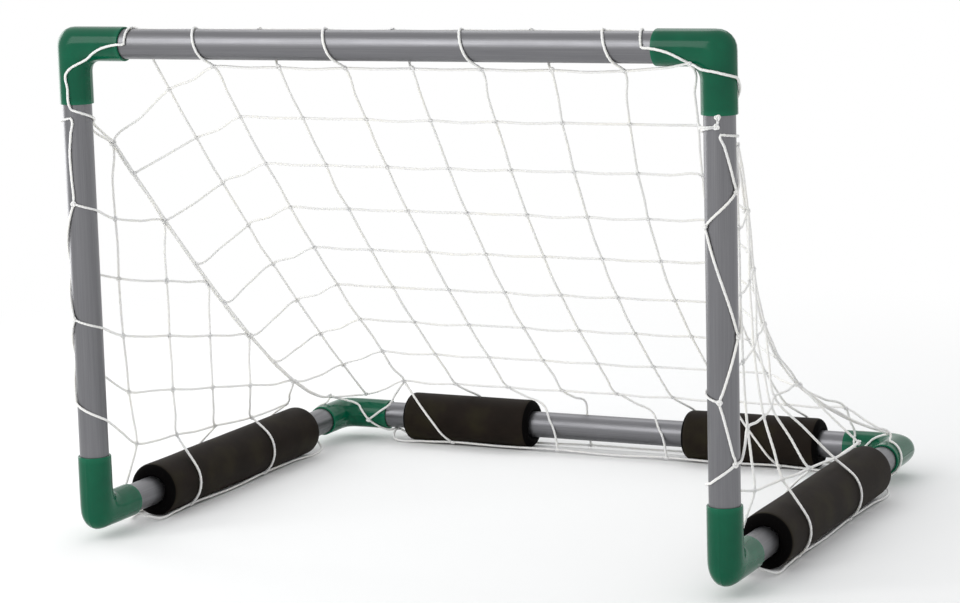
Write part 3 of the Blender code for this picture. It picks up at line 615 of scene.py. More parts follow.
def float_mesh(name, length, seed):
    random = Random(seed)
    waves = [
        (random.uniform(*WAVE_PACE), random.randint(*WAVE_LOBES), random.uniform(0, tau))
        for _ in range(WAVES)
    ]

    def skin(z, radius):
        points = []
        for i in range(FLOAT_FACETS):
            a = tau * i / FLOAT_FACETS
            out = Vector((cos(a), sin(a), 0))
            wave = sum(sin(z * pace + lobes * a + start) for pace, lobes, start in waves) / WAVES
            point = out * (radius + WANDER * (wave - 1)) + Z * z
            over = point.dot(FLOAT_DOWN) - FLOOR_FLAT + FLOOR_GAP
            points.append(point - FLOAT_DOWN * max(0.0, over))
        return points

    half = length / 2
    edge = [radians(90) * i / EDGE_BANDS for i in range(EDGE_BANDS + 1)]
    shape = [(-half + FLOAT_EDGE * (1 - cos(a)), FLOAT_RADIUS - FLOAT_EDGE * (1 - sin(a))) for a in edge]
    count = round((length - 2 * FLOAT_EDGE) / FLOAT_STEP)
    straight = [FLOAT_EDGE - half + (length - 2 * FLOAT_EDGE) * i / count for i in range(1, count)]
    shape += [(z, FLOAT_RADIUS) for z in straight]
    shape += [(-z, radius) for z, radius in reversed(shape[: len(edge)])]
    rings = [skin(z, radius) for z, radius in shape]
    ends = [[circle(r, sign * (half - d), FLOAT_FACETS) for r, d in CUT_RINGS] for sign in (1, -1)]
    rings += ends[0] + ends[1][::-1]
    skin_bands = len(shape) - 1 - 2 * SHADED_CUT_BANDS
    # Slot 1, the cut foam's near-black painted shade, goes on the cut ends and most of each rounded edge.
    slots = [1] * SHADED_CUT_BANDS + [0] * skin_bands + [1] * (SHADED_CUT_BANDS + 2 * len(CUT_RINGS) + 1)
    return ring_mesh(name, rings, closed=True, sharp=50, slots=slots)


print("a float's skin wanders by up to", round(2 * WANDER / MM, 2), "mm")

# %% Floats
floats = ("float_side_left", Y), ("float_side_right", Y), ("float_rear_left", X), ("float_rear_right", X)
for seed, (node, axis) in enumerate(floats):
    place = middle(node)
    place.z = ORIGIN.z
    mesh = float_mesh(node, size(node).dot(axis), seed)
    place = turned(Z, axis, place)
    sleeve = new_piece(f"{node}_foam", mesh, [foam_skin, cut_foam_painted_shade], node, node, place)
    print(node, "with", len(mesh.polygons), "faces")

# %% [markdown]
# ## The twine
# The net is tied from white polyester twine, a little over 2 mm thick: three strands twisted together.
# Fine filaments scatter light softly and pass it on, so the twine is matt, a little translucent, and has
# a faint sheen along its edge. It is never pure white, least of all against a white sheet, so its base is
# a pale grey, which a slow noise greys and warms by turns. Each filament could be a hair, but from here
# they show only as a broken highlight, and bump gives that, three times as coarse as they are.

# %% Finish: white polyester twine
CORD_RADIUS = 1.2 * MM
GREY_PATCH = 40 * MM
FILAMENT = 0.25 * MM
WHITES = (0.3, "#EBEBE9"), (0.5, "#F2F1EE"), (0.7, "#F5F3ED")

twine, tree, shader = new_material("twisted_polyester_twine", "#F1F0ED", 0.8, specular=0.2)
shader.inputs["Subsurface Weight"].default_value = 0.6
shader.inputs["Subsurface Radius"].default_value = (1, 1, 0.95)
shader.inputs["Subsurface Scale"].default_value = CORD_RADIUS
shader.inputs["Sheen Weight"].default_value = 0.15
shader.inputs["Sheen Roughness"].default_value = 0.4
position = add_node(tree, "ShaderNodeTexCoord").outputs["Object"]
greyed = add_node(tree, "ShaderNodeTexNoise", {"Scale": 1 / GREY_PATCH, "Detail": 4.0}, {"Vector": position})
tone = add_node(tree, "ShaderNodeValToRGB", links={"Fac": greyed.outputs["Fac"]}, stops=WHITES)
hairs = add_node(tree, "ShaderNodeTexNoise", {"Scale": 1 / FILAMENT, "Detail": 2.0}, {"Vector": position})
relief = {"Strength": 0.2, "Distance": 0.03 * MM}
fuzz = add_node(tree, "ShaderNodeBump", relief, {"Height": hairs.outputs["Fac"]})
join(tree, shader, {"Base Color": tone.outputs["Color"], "Normal": fuzz.outputs["Normal"]})
print("finish:", twine.name)

# %% [markdown]
# ## How the twine lies on round things
# Wherever the net meets the frame it is threaded round a tube, an elbow's arm or a float. A Shrinkwrap
# modifier lays a curve on a surface, but it doesn't wind one round it. So a round thing gives places on
# its surface by a distance along it and an angle round it. A stretch on the surface is an even helix, and
# a strand that goes off to a knot leaves where the surface lets it go straight there.

# %% Round things
LEFT, RIGHT = -1, 1


class Spot(NamedTuple):
    """A place on the twine's path and, where it lies on something, the way it faces."""

    place: Vector
    face: Vector | None = None


def lerp(a, b, part):
    return a + (b - a) * part


class Round:
    """A tube, arm or float, in angles of degrees from zero towards quarter."""

    STEP = radians(12)
    STRAIGHT = radians(350)  # a way round of more than this has already left

    def __init__(self, origin, along, zero, quarter, radius):
        self.origin, self.along, self.zero, self.quarter = origin, along, zero, quarter
        self.lay = radius + CORD_RADIUS

    def at(self, distance, angle, lift=0.0):
        out = self.zero * cos(radians(angle)) + self.quarter * sin(radians(angle))
        return Spot(self.origin + self.along * distance + out * (self.lay + lift), out)

    def turn(self, start, end):
        """The helix from one (distance, angle) to another, both left out."""
        count = max(1, ceil(abs(radians(end[1] - start[1])) / self.STEP))
        return [self.at(*(lerp(a, b, i / count) for a, b in zip(start, end))) for i in range(1, count)]

    def wind(self, start, *stops):
        """The helix from one (distance, angle) through the others, with the first left out."""
        spots = []
        for stop in stops:
            spots += [*self.turn(start, stop), self.at(*stop)]
            start = stop
        return spots

    def leave(self, start, target, way):
        """From (distance, angle) round the way of +1 or -1 until the twine can go straight to target."""
        offset = target - self.origin
        across, rise = offset.dot(self.zero), offset.dot(self.quarter)
        far = max(hypot(across, rise), self.lay)
        tangent = atan2(rise, across) - way * acos(self.lay / far)
        sweep = ((tangent - radians(start[1])) * way) % tau
        if sweep > self.STRAIGHT:
            return []
        whole = self.lay * sweep + sqrt(far**2 - self.lay**2)
        count = max(1, ceil(sweep / self.STEP))
        spots = []
        for i in range(1, count + 1):
            part = sweep * i / count
            distance = start[0] + (offset.dot(self.along) - start[0]) * self.lay * part / whole
            spots.append(self.at(distance, start[1] + way * degrees(part)))
        return spots


print(f"one turn of twine on a tube is {tau * (TUBE_RADIUS + CORD_RADIUS) / MM:.0f} mm long")


# %% The goal's own round things
LIP_X, LIP_Y, LIP_Z = HALF_WIDTH - ELBOW_ARM, GOAL_DEPTH - ELBOW_ARM, GOAL_HEIGHT - ELBOW_ARM


def crossbar_round(radius):
    return Round(Z * GOAL_HEIGHT, X, Y, Z, radius)


def post_round(side, radius):
    return Round(X * side * HALF_WIDTH, Z, -Y, X * side, radius)


def side_round(side, radius):
    return Round(X * side * HALF_WIDTH, Y, X * side, Z, radius)


def rear_round(radius):
    return Round(Y * GOAL_DEPTH, X, -Y, Z, radius)


print("elbows' lips at", [round(lip, 3) for lip in (LIP_X, LIP_Y, LIP_Z)], "m from the drawing's origin")

# %% [markdown]
# ## Twine along a path
# A curve with a round bevel is the usual way to a cord. It shows no twist, so the twine is swept here as
# a mesh: its section is three lobes that turn as it goes. Between two places of its path it follows a
# smooth curve that starts and ends in given directions.

# %% Curves and sections
TWIST = 15 * MM  # one turn of the three strands
TWINE_STEP = 1.9 * MM
LOBE_POINTS, LOBE_DIP = 9, 0.91  # the radius between two lobes, over the radius on a lobe
LOBES = [
    (CORD_RADIUS * (1.0 if i % 3 == 0 else LOBE_DIP), tau * i / LOBE_POINTS) for i in range(LOBE_POINTS)
]


def hermite(a, b, way_a, way_b, steps):
    """Places from a up to b, without b, on the curve that starts and ends in the given directions."""
    length = (b - a).length
    parts = np.arange(steps)[:, None] / steps
    weights = (
        2 * parts**3 - 3 * parts**2 + 1,
        3 * parts**2 - 2 * parts**3,
        length * (parts**3 - 2 * parts**2 + parts),
        length * (parts**3 - parts**2),
    )
    return sum(weight * np.array(v) for weight, v in zip(weights, (a, b, way_a, way_b)))


def cord_rings(path, section, twist=0.0, closed=False):
    """Rings of a section along a path, turned once for each length of twist."""
    ahead = np.roll(path, -1, 0) - np.roll(path, 1, 0)
    if not closed:
        ahead[0], ahead[-1] = path[1] - path[0], path[-1] - path[-2]
    ahead /= np.linalg.norm(ahead, axis=1)[:, None]
    side = np.cross(ahead[0], (0, 0, 1) if abs(ahead[0][2]) < 0.9 else (1, 0, 0))
    rings, run = [], 0.0
    for i, (place, along) in enumerate(zip(path, ahead)):
        side = side - along * side.dot(along)
        side /= np.linalg.norm(side)
        other = np.cross(along, side)
        run += np.linalg.norm(place - path[i - 1]) if i else 0.0
        turn = tau * run / twist if twist else 0.0
        rings.append([place + r * (side * cos(a + turn) + other * sin(a + turn)) for r, a in section])
    return rings


print(f"twine {2 * CORD_RADIUS / MM:.1f} mm thick, one turn in {TWIST / MM:.0f} mm")

# %% [markdown]
# ## Knots and strands
# A net could be a cloth grid with a Wireframe modifier, which gives stiff bars and no knots. Here a panel
# is written down as knots and the strands between them. Where only two strands meet, nothing is tied and
# the twine runs through. A strand that hangs free between two knots is a little slack: it bends by a
# small random amount, and what lies level sags.

# %% Knots and strands
SLACK = 0.012  # of a free strand's length
FREE = 25 * MM
ABOVE_FLOOR = 0.5 * MM


class Net:
    """Knots by their names, and the strands of twine between them. outward is the way the net faces."""

    def __init__(self, name, outward, seed):
        self.name, self.outward, self.random = name, outward, Random(seed)
        self.spots, self.strands = {}, []

    def knot(self, name, spot):
        """Puts a knot there and gives its name back."""
        self.spots[name] = spot
        return name

    def place(self, name):
        return self.spots[name].place

    def strand(self, start, end, via=()):
        """Twine from one knot to another through some spots."""
        self.strands.append((start, end, list(via)))

    def line(self, names):
        """A strand from each knot to the next."""
        for start, end in zip(names, names[1:]):
            self.strand(start, end)

    def routes(self):
        """Lengths of twine from one tied knot to another, each as (start, end, spots)."""
        meet = {}
        for number, (start, end, _) in enumerate(self.strands):
            meet.setdefault(start, []).append(number)
            meet.setdefault(end, []).append(number)
        self.tied = [name for name, numbers in meet.items() if len(numbers) != 2]
        used, routes = set(), []
        for name in self.tied:
            for number in meet[name]:
                here, spots = name, [self.spots[name]]
                while number not in used:
                    used.add(number)
                    start, end, via = self.strands[number]
                    spots += via if start == here else via[::-1]
                    here = end if start == here else start
                    spots.append(self.spots[here])
                    if here not in self.tied:
                        number = next(other for other in meet[here] if other != number)
                if len(spots) > 1:
                    routes.append((name, here, self.slacken(spots)))
        return routes

    def slacken(self, spots):
        """The spots, with a bend half way between two that are far apart."""
        loose = spots[:1]
        for spot in spots[1:]:
            span = spot.place - loose[-1].place
            if span.length > FREE:
                wander = Vector([self.random.uniform(-1, 1) for _ in range(3)])
                wander.z -= hypot(span.x, span.y) / span.length  # what lies level sags
                bend = (spot.place + loose[-1].place) / 2 + wander * SLACK * span.length
                bend.z = max(bend.z, CORD_RADIUS + ABOVE_FLOOR - ORIGIN.z)
                loose.append(Spot(bend))
            loose.append(spot)
        return loose


print(f"a free strand bends by about {SLACK:.1%} of its length")

# %% [markdown]
# The lengths of twine and the knots of a panel become one mesh, because on the real goal too they can't
# be taken apart. The twine bends smoothly through a knot into the length opposite. A knot could be a
# ball, but a small trefoil shows turns of twine and catches the light as a knot does.

# %% The mesh of a panel
KNOT_TURN, KNOT_TUBE = 1.3 * MM, 0.65 * MM  # the trefoil's two radii
KNOT_CORD_RADIUS, KNOT_CORD_POINTS = 0.85 * MM, 8  # the twine is pulled thin in a knot
KNOT_CORD = [(KNOT_CORD_RADIUS, tau * i / KNOT_CORD_POINTS) for i in range(KNOT_CORD_POINTS)]
KNOT_STEPS = 28
KNOT_LIFT = 0.35 * MM
OPPOSITE = 1.6  # two lengths run on through a knot if their directions differ by more than this


class Panel(Net):
    """A net as one mesh."""

    def __init__(self, name, outward, seed):
        super().__init__(name, outward, seed)
        self.points, self.faces = [], []

    def add(self, rings, closed=False):
        """Joins rings with quads; closed joins the last to the first, otherwise both ends are capped."""
        base, count = len(self.points), len(rings[0])
        self.points += [point for ring in rings for point in ring]
        for i in range(len(rings) if closed else len(rings) - 1):
            here, there = base + i * count, base + (i + 1) % len(rings) * count
            for j in range(count):
                k = (j + 1) % count
                self.faces.append((here + j, here + k, there + k, there + j))
        if not closed:
            self.faces.append(tuple(range(base + count - 1, base - 1, -1)))
            self.faces.append(tuple(range(len(self.points) - count, len(self.points))))

    def tie(self, name, ways):
        """A small trefoil of twine, flat against whatever carries it or in the plane of the net."""
        spot = self.spots[name]
        normal = spot.face
        if normal is None:
            crosses = [a.cross(b) for i, a in enumerate(ways) for b in ways[i + 1 :]]
            total = sum((cross if cross.dot(self.outward) > 0 else -cross for cross in crosses), Vector())
            normal = total.normalized() if total.length > 1e-6 else self.outward
        east = ways[0].cross(normal).normalized()
        basis = np.array((east, normal.cross(east), normal))
        start = self.random.uniform(0, tau)
        turns = np.arange(KNOT_STEPS) * tau / KNOT_STEPS
        reach = KNOT_TURN + KNOT_TUBE * np.cos(3 * turns)
        round_it = reach * np.cos(2 * turns + start), reach * np.sin(2 * turns + start)
        curve = np.stack((*round_it, KNOT_TUBE * np.sin(3 * turns)), 1)
        centre = np.array(spot.place + normal * (KNOT_LIFT if spot.face is not None else 0.0))
        self.add(cord_rings(centre + curve @ basis, KNOT_CORD, closed=True), closed=True)

    def mesh(self):
        """Sweeps every length of twine and ties every knot."""
        routes, ways = self.routes(), {}
        for start, end, spots in routes:
            ways.setdefault(start, []).append((spots[1].place - spots[0].place).normalized())
            ways.setdefault(end, []).append((spots[-2].place - spots[-1].place).normalized())
        length = 0.0
        for start, end, spots in routes:
            spans = [(b.place - a.place).normalized() for a, b in zip(spots, spots[1:])]
            ahead = [(a + b).normalized() for a, b in zip(spans, spans[1:])]
            first = spans[0] - min(ways[start], key=spans[0].dot)
            last = spans[-1] + min(ways[end], key=(-spans[-1]).dot)
            ahead = [first.normalized() if first.length > OPPOSITE else spans[0], *ahead]
            ahead.append(last.normalized() if last.length > OPPOSITE else spans[-1])
            stretches = []
            for a, b, way_a, way_b in zip(spots, spots[1:], ahead, ahead[1:]):
                steps = max(1, round((b.place - a.place).length / TWINE_STEP))
                stretches.append(hermite(a.place, b.place, way_a, way_b, steps))
            path = np.concatenate((*stretches, [spots[-1].place]))
            length += np.linalg.norm(np.diff(path, axis=0), axis=1).sum()
            self.add(cord_rings(path, LOBES, TWIST))
        for name in self.tied:
            self.tie(name, ways[name])
        mesh = bpy.data.meshes.new(self.name)
        mesh.from_pydata([point + np.array(ORIGIN) for point in self.points], [], self.faces)
        mesh.shade_smooth()
        print(f"{self.name}: {length:.2f} m of twine, {len(self.tied)} knots, {len(self.faces)} faces")
        return mesh


print(f"a knot is {2 * (KNOT_TURN + KNOT_TUBE + KNOT_CORD_RADIUS) / MM:.1f} mm across")

# %% [markdown]
# ## The seams
# Each side panel is laced to the back panel along a seam from behind the post to the rear elbow: two
# cords side by side. It hangs below the straight line between its ends, and the nets pull it inward. A
# simulation could find that line, but one bow, skewed towards the end where it hangs deeper, is easier
# to match with the picture.

# %% Seams
MESH = 67 * MM
HUNG = 0.9  # the part of their width that the meshes are spread to along the crossbar
SEAM_SAG = {LEFT: 58 * MM, RIGHT: 20 * MM}
SEAM_PULL = {LEFT: 37 * MM, RIGHT: 45 * MM}
SEAM_SKEW = {LEFT: 0.27, RIGHT: 0.83}
SEAM_TOP = Vector((0, TUBE_RADIUS + 1.5 * MM, LIP_Z))
SEAM_END = Vector((0, LIP_Y + 20 * MM, ELBOW_RADIUS + 6 * MM))
SEAM_EPSILON = 0.001  # parts of the seam closer than this are one
SEAM_STEP = 0.01  # of the seam, to see which way it runs
OUTER, INNER = 1, -1


def seam_middle(side, part):
    hang = 4 * part * (1 - part) * (1 + SEAM_SKEW[side] * (2 * part - 1))
    chord = SEAM_END - SEAM_TOP
    down = Vector((0, chord.z, -chord.y)).normalized()
    point = lerp(SEAM_TOP, SEAM_END, part) + down * SEAM_SAG[side] * hang
    point.x = side * (HALF_WIDTH - SEAM_PULL[side] * hang)
    return point


def seam(side, part, way):
    """A place on the seam's outer cord, the side panel's, or on its inner one, the back panel's."""
    along = (seam_middle(side, part + SEAM_STEP) - seam_middle(side, part - SEAM_STEP)).normalized()
    beside = (X * side - along * along.dot(X * side)).normalized()
    place = seam_middle(side, part) + beside * way * CORD_RADIUS
    return Spot(place, beside if way == OUTER else along.cross(beside))


def seam_strand(net, side, start, end, way):
    """A stretch of a seam's cord between two (name, part)."""
    parts = [part for part in SEAM_PARTS if start[1] + SEAM_EPSILON < part < end[1] - SEAM_EPSILON]
    net.strand(start[0], end[0], [Spot(seam(side, part, way).place) for part in parts])


print(f"a seam's ends are {(SEAM_END - SEAM_TOP).length:.3f} m apart")

# %% [markdown]
# ## Where the knots are
# The back panel's columns run from the crossbar to the rear tube and its rows from seam to seam. The
# panel leans to the left on its way down by most of a mesh, as it does in the picture, and its first
# column hangs lower. A side panel is square mesh cut along its diagonal: row n ends at the seam's knot
# that column n + 1 hangs from. Every knot could be placed by hand, but the net is tied to one size of
# mesh, so a formula with a few measures places them.

# %% Rows and columns
COLUMNS = round(2 * HALF_WIDTH / (MESH * HUNG) - 0.5)
COLUMN_STEP = 2 * HALF_WIDTH / (COLUMNS + 0.5)
COLUMN_INSET = ELBOW_ARM + 22 * MM
COLUMN_DRIFT, DRIFT_STEP = 46 * MM, 4 * MM  # how far the first column leans, and each other one more
BACK_TOP = Vector((0, 3.5 * MM, GOAL_HEIGHT - TUBE_RADIUS - 6 * MM))
BACK_END = Vector((0, GOAL_DEPTH - 32 * MM, FLOAT_RADIUS + 18 * MM))
BACK_ROWS = round((BACK_END - BACK_TOP).length / MESH)
BACK_SAG, BACK_BOW, CORNER_DROP = 10 * MM, 22 * MM, 34 * MM
CROSSBAR_LEAN, REAR_LEAN, FOOT_LEAN = 18 * MM, 42 * MM, 4 * MM  # of the strands that go round

SIDE_ROWS = ceil((GOAL_HEIGHT - 2 * ELBOW_ARM) / MESH) + 1
LAST_ROW = SIDE_ROWS - 1
SIDE_ROW_TOP = LIP_Z - 45 * MM  # the heights of the first row and the last at the post
SIDE_ROW_END = ELBOW_ARM + 2 * MM
SIDE_FOOT = FLOAT_RADIUS + 7 * MM  # what the last row comes down to on its way back
SIDE_CURVE = 3  # how late a column bends away from the seam

# Rows end at these parts of the seam, from 0 at its top to 1. Where rows of both panels end almost
# together, they share a place.
FIRST_PART, SECOND_PART, LAST_PART = 0.08, 0.143, 0.76
LOW_PARTS = (0.84, 0.92)  # bends of the cords under the last row, with no knots
SIDE_CROWDING = 1.1
ONE_PLACE = 0.03
BACK_PARTS = [FIRST_PART] + [lerp(SECOND_PART, LAST_PART, i / (BACK_ROWS - 2)) for i in range(BACK_ROWS - 1)]
SIDE_PARTS = [lerp(FIRST_PART, LAST_PART, (i / (LAST_ROW - 1)) ** SIDE_CROWDING) for i in range(LAST_ROW)]
for i, part in enumerate(SIDE_PARTS):
    near = min(BACK_PARTS, key=lambda other: abs(other - part))
    SIDE_PARTS[i] = near if abs(near - part) < ONE_PLACE else part
SEAM_PARTS = sorted({*BACK_PARTS, *SIDE_PARTS, *LOW_PARTS})
print("back panel:", COLUMNS, "columns,", BACK_ROWS, "rows; side panels:", SIDE_ROWS, "rows")


# %% The panels' knots
def side_row_height(row):
    return lerp(SIDE_ROW_TOP, SIDE_ROW_END, row / LAST_ROW)


def side_knot(side, row, column):
    """Columns start crowded at the seam's knots and end a mesh apart in the row just over the float."""
    above = seam(side, SIDE_PARTS[column - 1], OUTER)
    first = column - 1
    if row == first:
        return above
    height = lerp(SIDE_ROW_END, SIDE_FOOT, min(1, column / (LAST_ROW - 1)))
    below = Vector((side * HALF_WIDTH, column * MESH, height))
    place = lerp(above.place, below, ((row - first) / (LAST_ROW - first)) ** SIDE_CURVE)
    if row < LAST_ROW:
        end = seam(side, SIDE_PARTS[row], OUTER).place
        place.z = lerp(side_row_height(row), end.z, place.y / end.y)
    return Spot(place)


def back_point(column, row):
    part = row / BACK_ROWS
    chord = BACK_END - BACK_TOP
    down = Vector((0, chord.z, -chord.y)).normalized()
    point = lerp(BACK_TOP, BACK_END, part) + down * BACK_SAG * 4 * part * (1 - part)
    if column == 0:
        point += chord.normalized() * CORNER_DROP
    bow = BACK_BOW * (column / (COLUMNS - 1)) ** 2 * 4 * part * (1 - part)
    lean = (COLUMN_DRIFT + DRIFT_STEP * column) * part
    point.x = COLUMN_INSET - HALF_WIDTH + column * COLUMN_STEP - lean - bow
    return Spot(point)


print("the back panel's first knot:", [round(v, 3) for v in back_point(0, 0).place])

# %% [markdown]
# ## The foot of the net
# A panel's foot goes round the float by turns, one way and the other, to two border cords underneath,
# which meet under the bare tube at both ends of the floats. All three panels end in such a pair, so one
# function runs it.

# %% The two border cords
OUTSIDE, INSIDE = 1, -1
LOW = {OUTSIDE: -55, INSIDE: 235}  # the angles of the two border cords under a float
UNDER = -90


def border_cords(net, foam, knots, bends, end):
    """Each cord goes through its own knots to the end, and round the foam's ends at the two bends."""
    for way, names in knots.items():
        net.strand(names[0], names[1], [foam.at(bends[0], LOW[way])])
        net.line(names[1:])
        net.strand(names[-1], end, [foam.at(bends[1], LOW[way])])


print("the border cords run at", list(LOW.values()), "degrees round a float")

# %% [markdown]
# ## The side panels
# A side panel's front selvedge winds down its post, and each row comes round the post to it from the
# inside or the outside. No rule could give these turns: they differ from row to row, as a net threaded on
# by hand does, so they are a table. The rest follows from the knots.

# %% A side panel's meshes and its selvedge
POST_THREADING = {  # each row's knot: its height over the row, its angle, and the way the row goes on
    LEFT: [
        (5 * MM, 3, None),
        (13 * MM, -2, INSIDE),
        (7 * MM, 95, OUTSIDE),
        (16 * MM, 22, INSIDE),
        (32 * MM, 95, OUTSIDE),
        (45 * MM, 40, INSIDE),
    ],
    RIGHT: [
        (-13 * MM, 78, OUTSIDE),
        (12 * MM, -40, INSIDE),
        (-22 * MM, 78, OUTSIDE),
        (-21 * MM, 8, INSIDE),
        (-19 * MM, 58, OUTSIDE),
        (17 * MM, -30, INSIDE),
    ],
}
LACE_TOP = {LEFT: (-11 * MM, -7), RIGHT: (-14 * MM, 23)}  # from the elbow's lip, and its angle


def side_grid(net, side):
    for row in range(SIDE_ROWS):
        names = [(row, column) for column in range(1, min(row + 1, LAST_ROW) + 1)]
        for name in names:
            net.knot(name, side_knot(side, *name))
        net.line(names)
    for column in range(1, LAST_ROW + 1):
        net.line([(row, column) for row in range(column - 1, SIDE_ROWS)])
    for row in range(LAST_ROW - 1):
        ends = [((row + i, row + 1 + i), SIDE_PARTS[row + i]) for i in (0, 1)]
        seam_strand(net, side, *ends, OUTER)


def post_lacing(net, side):
    post = post_round(side, TUBE_RADIUS)
    top = (LIP_Z + LACE_TOP[side][0], LACE_TOP[side][1])
    before, name = top, net.knot("lace_top", post.at(*top))
    for row in range(SIDE_ROWS):
        rise, angle, way = POST_THREADING[side][row % len(POST_THREADING[side])]
        here = (side_row_height(row) + rise, angle)
        net.knot(("lace", row), post.at(*here))
        net.strand(name, ("lace", row), post.turn(before, here))
        if way:
            net.strand(("lace", row), (row, 1), post.leave(here, net.place((row, 1)), way))
        before, name = here, ("lace", row)
    behind = (LIP_Z - 18 * MM, 165)
    net.knot("behind_post", post.at(*behind))
    net.strand("lace_top", "behind_post", post.turn(top, behind))
    net.strand("behind_post", (0, 1))


print("the selvedge goes down each post past", SIDE_ROWS, "rows")

# %% A side panel's foot, and the two panels
FLOAT_MIDDLE = middle("float_side_left").y - ORIGIN.y
FLOAT_REACH = size("float_side_left").y / 2 + 15 * MM  # to where the border cords come off the foam
FLOAT_ENDS = FLOAT_MIDDLE - FLOAT_REACH, FLOAT_MIDDLE + FLOAT_REACH
FRONT_UNDER, REAR_UNDER = ELBOW_ARM + 12 * MM, LIP_Y - 15.5 * MM


def side_foot(net, side):
    arm, bare = side_round(side, ELBOW_RADIUS), side_round(side, TUBE_RADIUS)
    foam = side_round(side, FLOAT_RADIUS)
    net.knot("front_under", bare.at(FRONT_UNDER, UNDER))
    net.knot("rear_under", bare.at(REAR_UNDER, UNDER))
    low_knots = {OUTSIDE: ["front_under"], INSIDE: ["front_under"]}
    for column in range(1, LAST_ROW + 1):
        target = net.place((LAST_ROW, column))
        way = OUTSIDE if (column % 2 == 0) == (side == RIGHT) else INSIDE
        if column == 1:
            start = (FRONT_UNDER, UNDER if way == OUTSIDE else UNDER + 360)
            net.strand("front_under", (LAST_ROW, 1), bare.leave(start, target, way))
            continue
        start = (target.y - FOOT_LEAN, LOW[way])
        name = net.knot(("low", column), foam.at(*start))
        net.strand(name, (LAST_ROW, column), foam.leave(start, target, way))
        low_knots[way].append(name)
    border_cords(net, foam, low_knots, FLOAT_ENDS, "rear_under")
    over, edge = (LIP_Y + 14 * MM, 90), (LIP_Y + 1 * MM, -65)
    net.knot("seam_end", Spot(seam(side, 1, OUTER).place, Z))
    seam_strand(net, side, ((LAST_ROW - 1, LAST_ROW), SIDE_PARTS[-1]), ("seam_end", 1), OUTER)
    net.strand("seam_end", "rear_under", arm.wind(over, edge))


for side, node in ((LEFT, "net_left"), (RIGHT, "net_right")):
    panel = Panel(node, X * side, seed=side + 5)
    side_grid(panel, side)
    post_lacing(panel, side)
    side_foot(panel, side)
    new_piece(f"{node}_twine", panel.mesh(), [twine], "frame", node)

# %% [markdown]
# ## The back panel
# Its meshes are a grid between the two seams. A plane's grid would do for an even net, but here rows and
# columns end in places of their own: on the right the goal's corner and its post hold the ends of the
# first two rows, and the seam the others.

# %% The back panel's meshes and its seams
def seam_rows(side):
    """The rows that end on a seam."""
    return range(0 if side == LEFT else 2, BACK_ROWS)


def back_grid(net):
    last = COLUMNS - 1
    for column in range(COLUMNS):
        names = [(column, row) for row in range(1 if column == last else 0, BACK_ROWS + 1)]
        for name in names:
            net.knot(name, back_point(*name))
        net.line(names)
    for side in (LEFT, RIGHT):
        for row in seam_rows(side):
            net.knot(("seam", side, row), seam(side, BACK_PARTS[row], INNER))
    for row in range(BACK_ROWS + 1):
        names = [(column, row) for column in range(last if row == 0 else COLUMNS)]
        if row in seam_rows(LEFT):
            names.insert(0, ("seam", LEFT, row))
        if row in seam_rows(RIGHT):
            names.append(("seam", RIGHT, row))
        net.line(names)


def back_seam(net, side):
    net.knot(("end", side), Spot(seam(side, 1, INNER).place, Z))
    ends = [(("seam", side, row), BACK_PARTS[row]) for row in seam_rows(side)]
    ends = [(("inner", side), SEAM_EPSILON), *ends, (("end", side), 1)]
    for start, end in zip(ends, ends[1:]):
        seam_strand(net, side, start, end, INNER)


print("rows of the back panel on each seam:", [len(seam_rows(side)) for side in (LEFT, RIGHT)])

# %% [markdown]
# The top selvedge lies on the crossbar and every second strand comes down in front of it. At the ends it
# crosses the front of the elbow: on the left it goes down to the post, on the right round the outside.
# The angles go round a tube from zero: for the crossbar that is behind it, and for a post in front. A
# distance goes along it from the drawing's origin.

# %% The back panel's top
BAR_REST = 60  # the selvedge's angle on the crossbar
BAR_START, BAR_END = 6 * MM, 13 * MM  # from the elbows' lips
# Each of these places is a distance from an elbow's lip, away from the middle of the tube, and an angle.
TIE = {LEFT: (-4 * MM, -13), RIGHT: (-8 * MM, 10)}
OVER_ELBOW = (-1 * MM, 178), (6 * MM, 182), (15 * MM, 191), (24 * MM, 208)


def crossbar_border(net):
    bare = crossbar_round(TUBE_RADIUS)
    names = []
    for column in range(COLUMNS - 1):
        target = net.place((column, 0))
        along = max(target.x - CROSSBAR_LEAN, BAR_START - LIP_X)
        names.append(net.knot(("bar", column), bare.at(along, BAR_REST)))
        way = 1 if column % 2 else -1
        net.strand(names[-1], (column, 0), bare.leave((along, BAR_REST), target, way))
    names.append(net.knot("bar_end", bare.at(LIP_X - BAR_END, BAR_REST)))
    net.line(names)


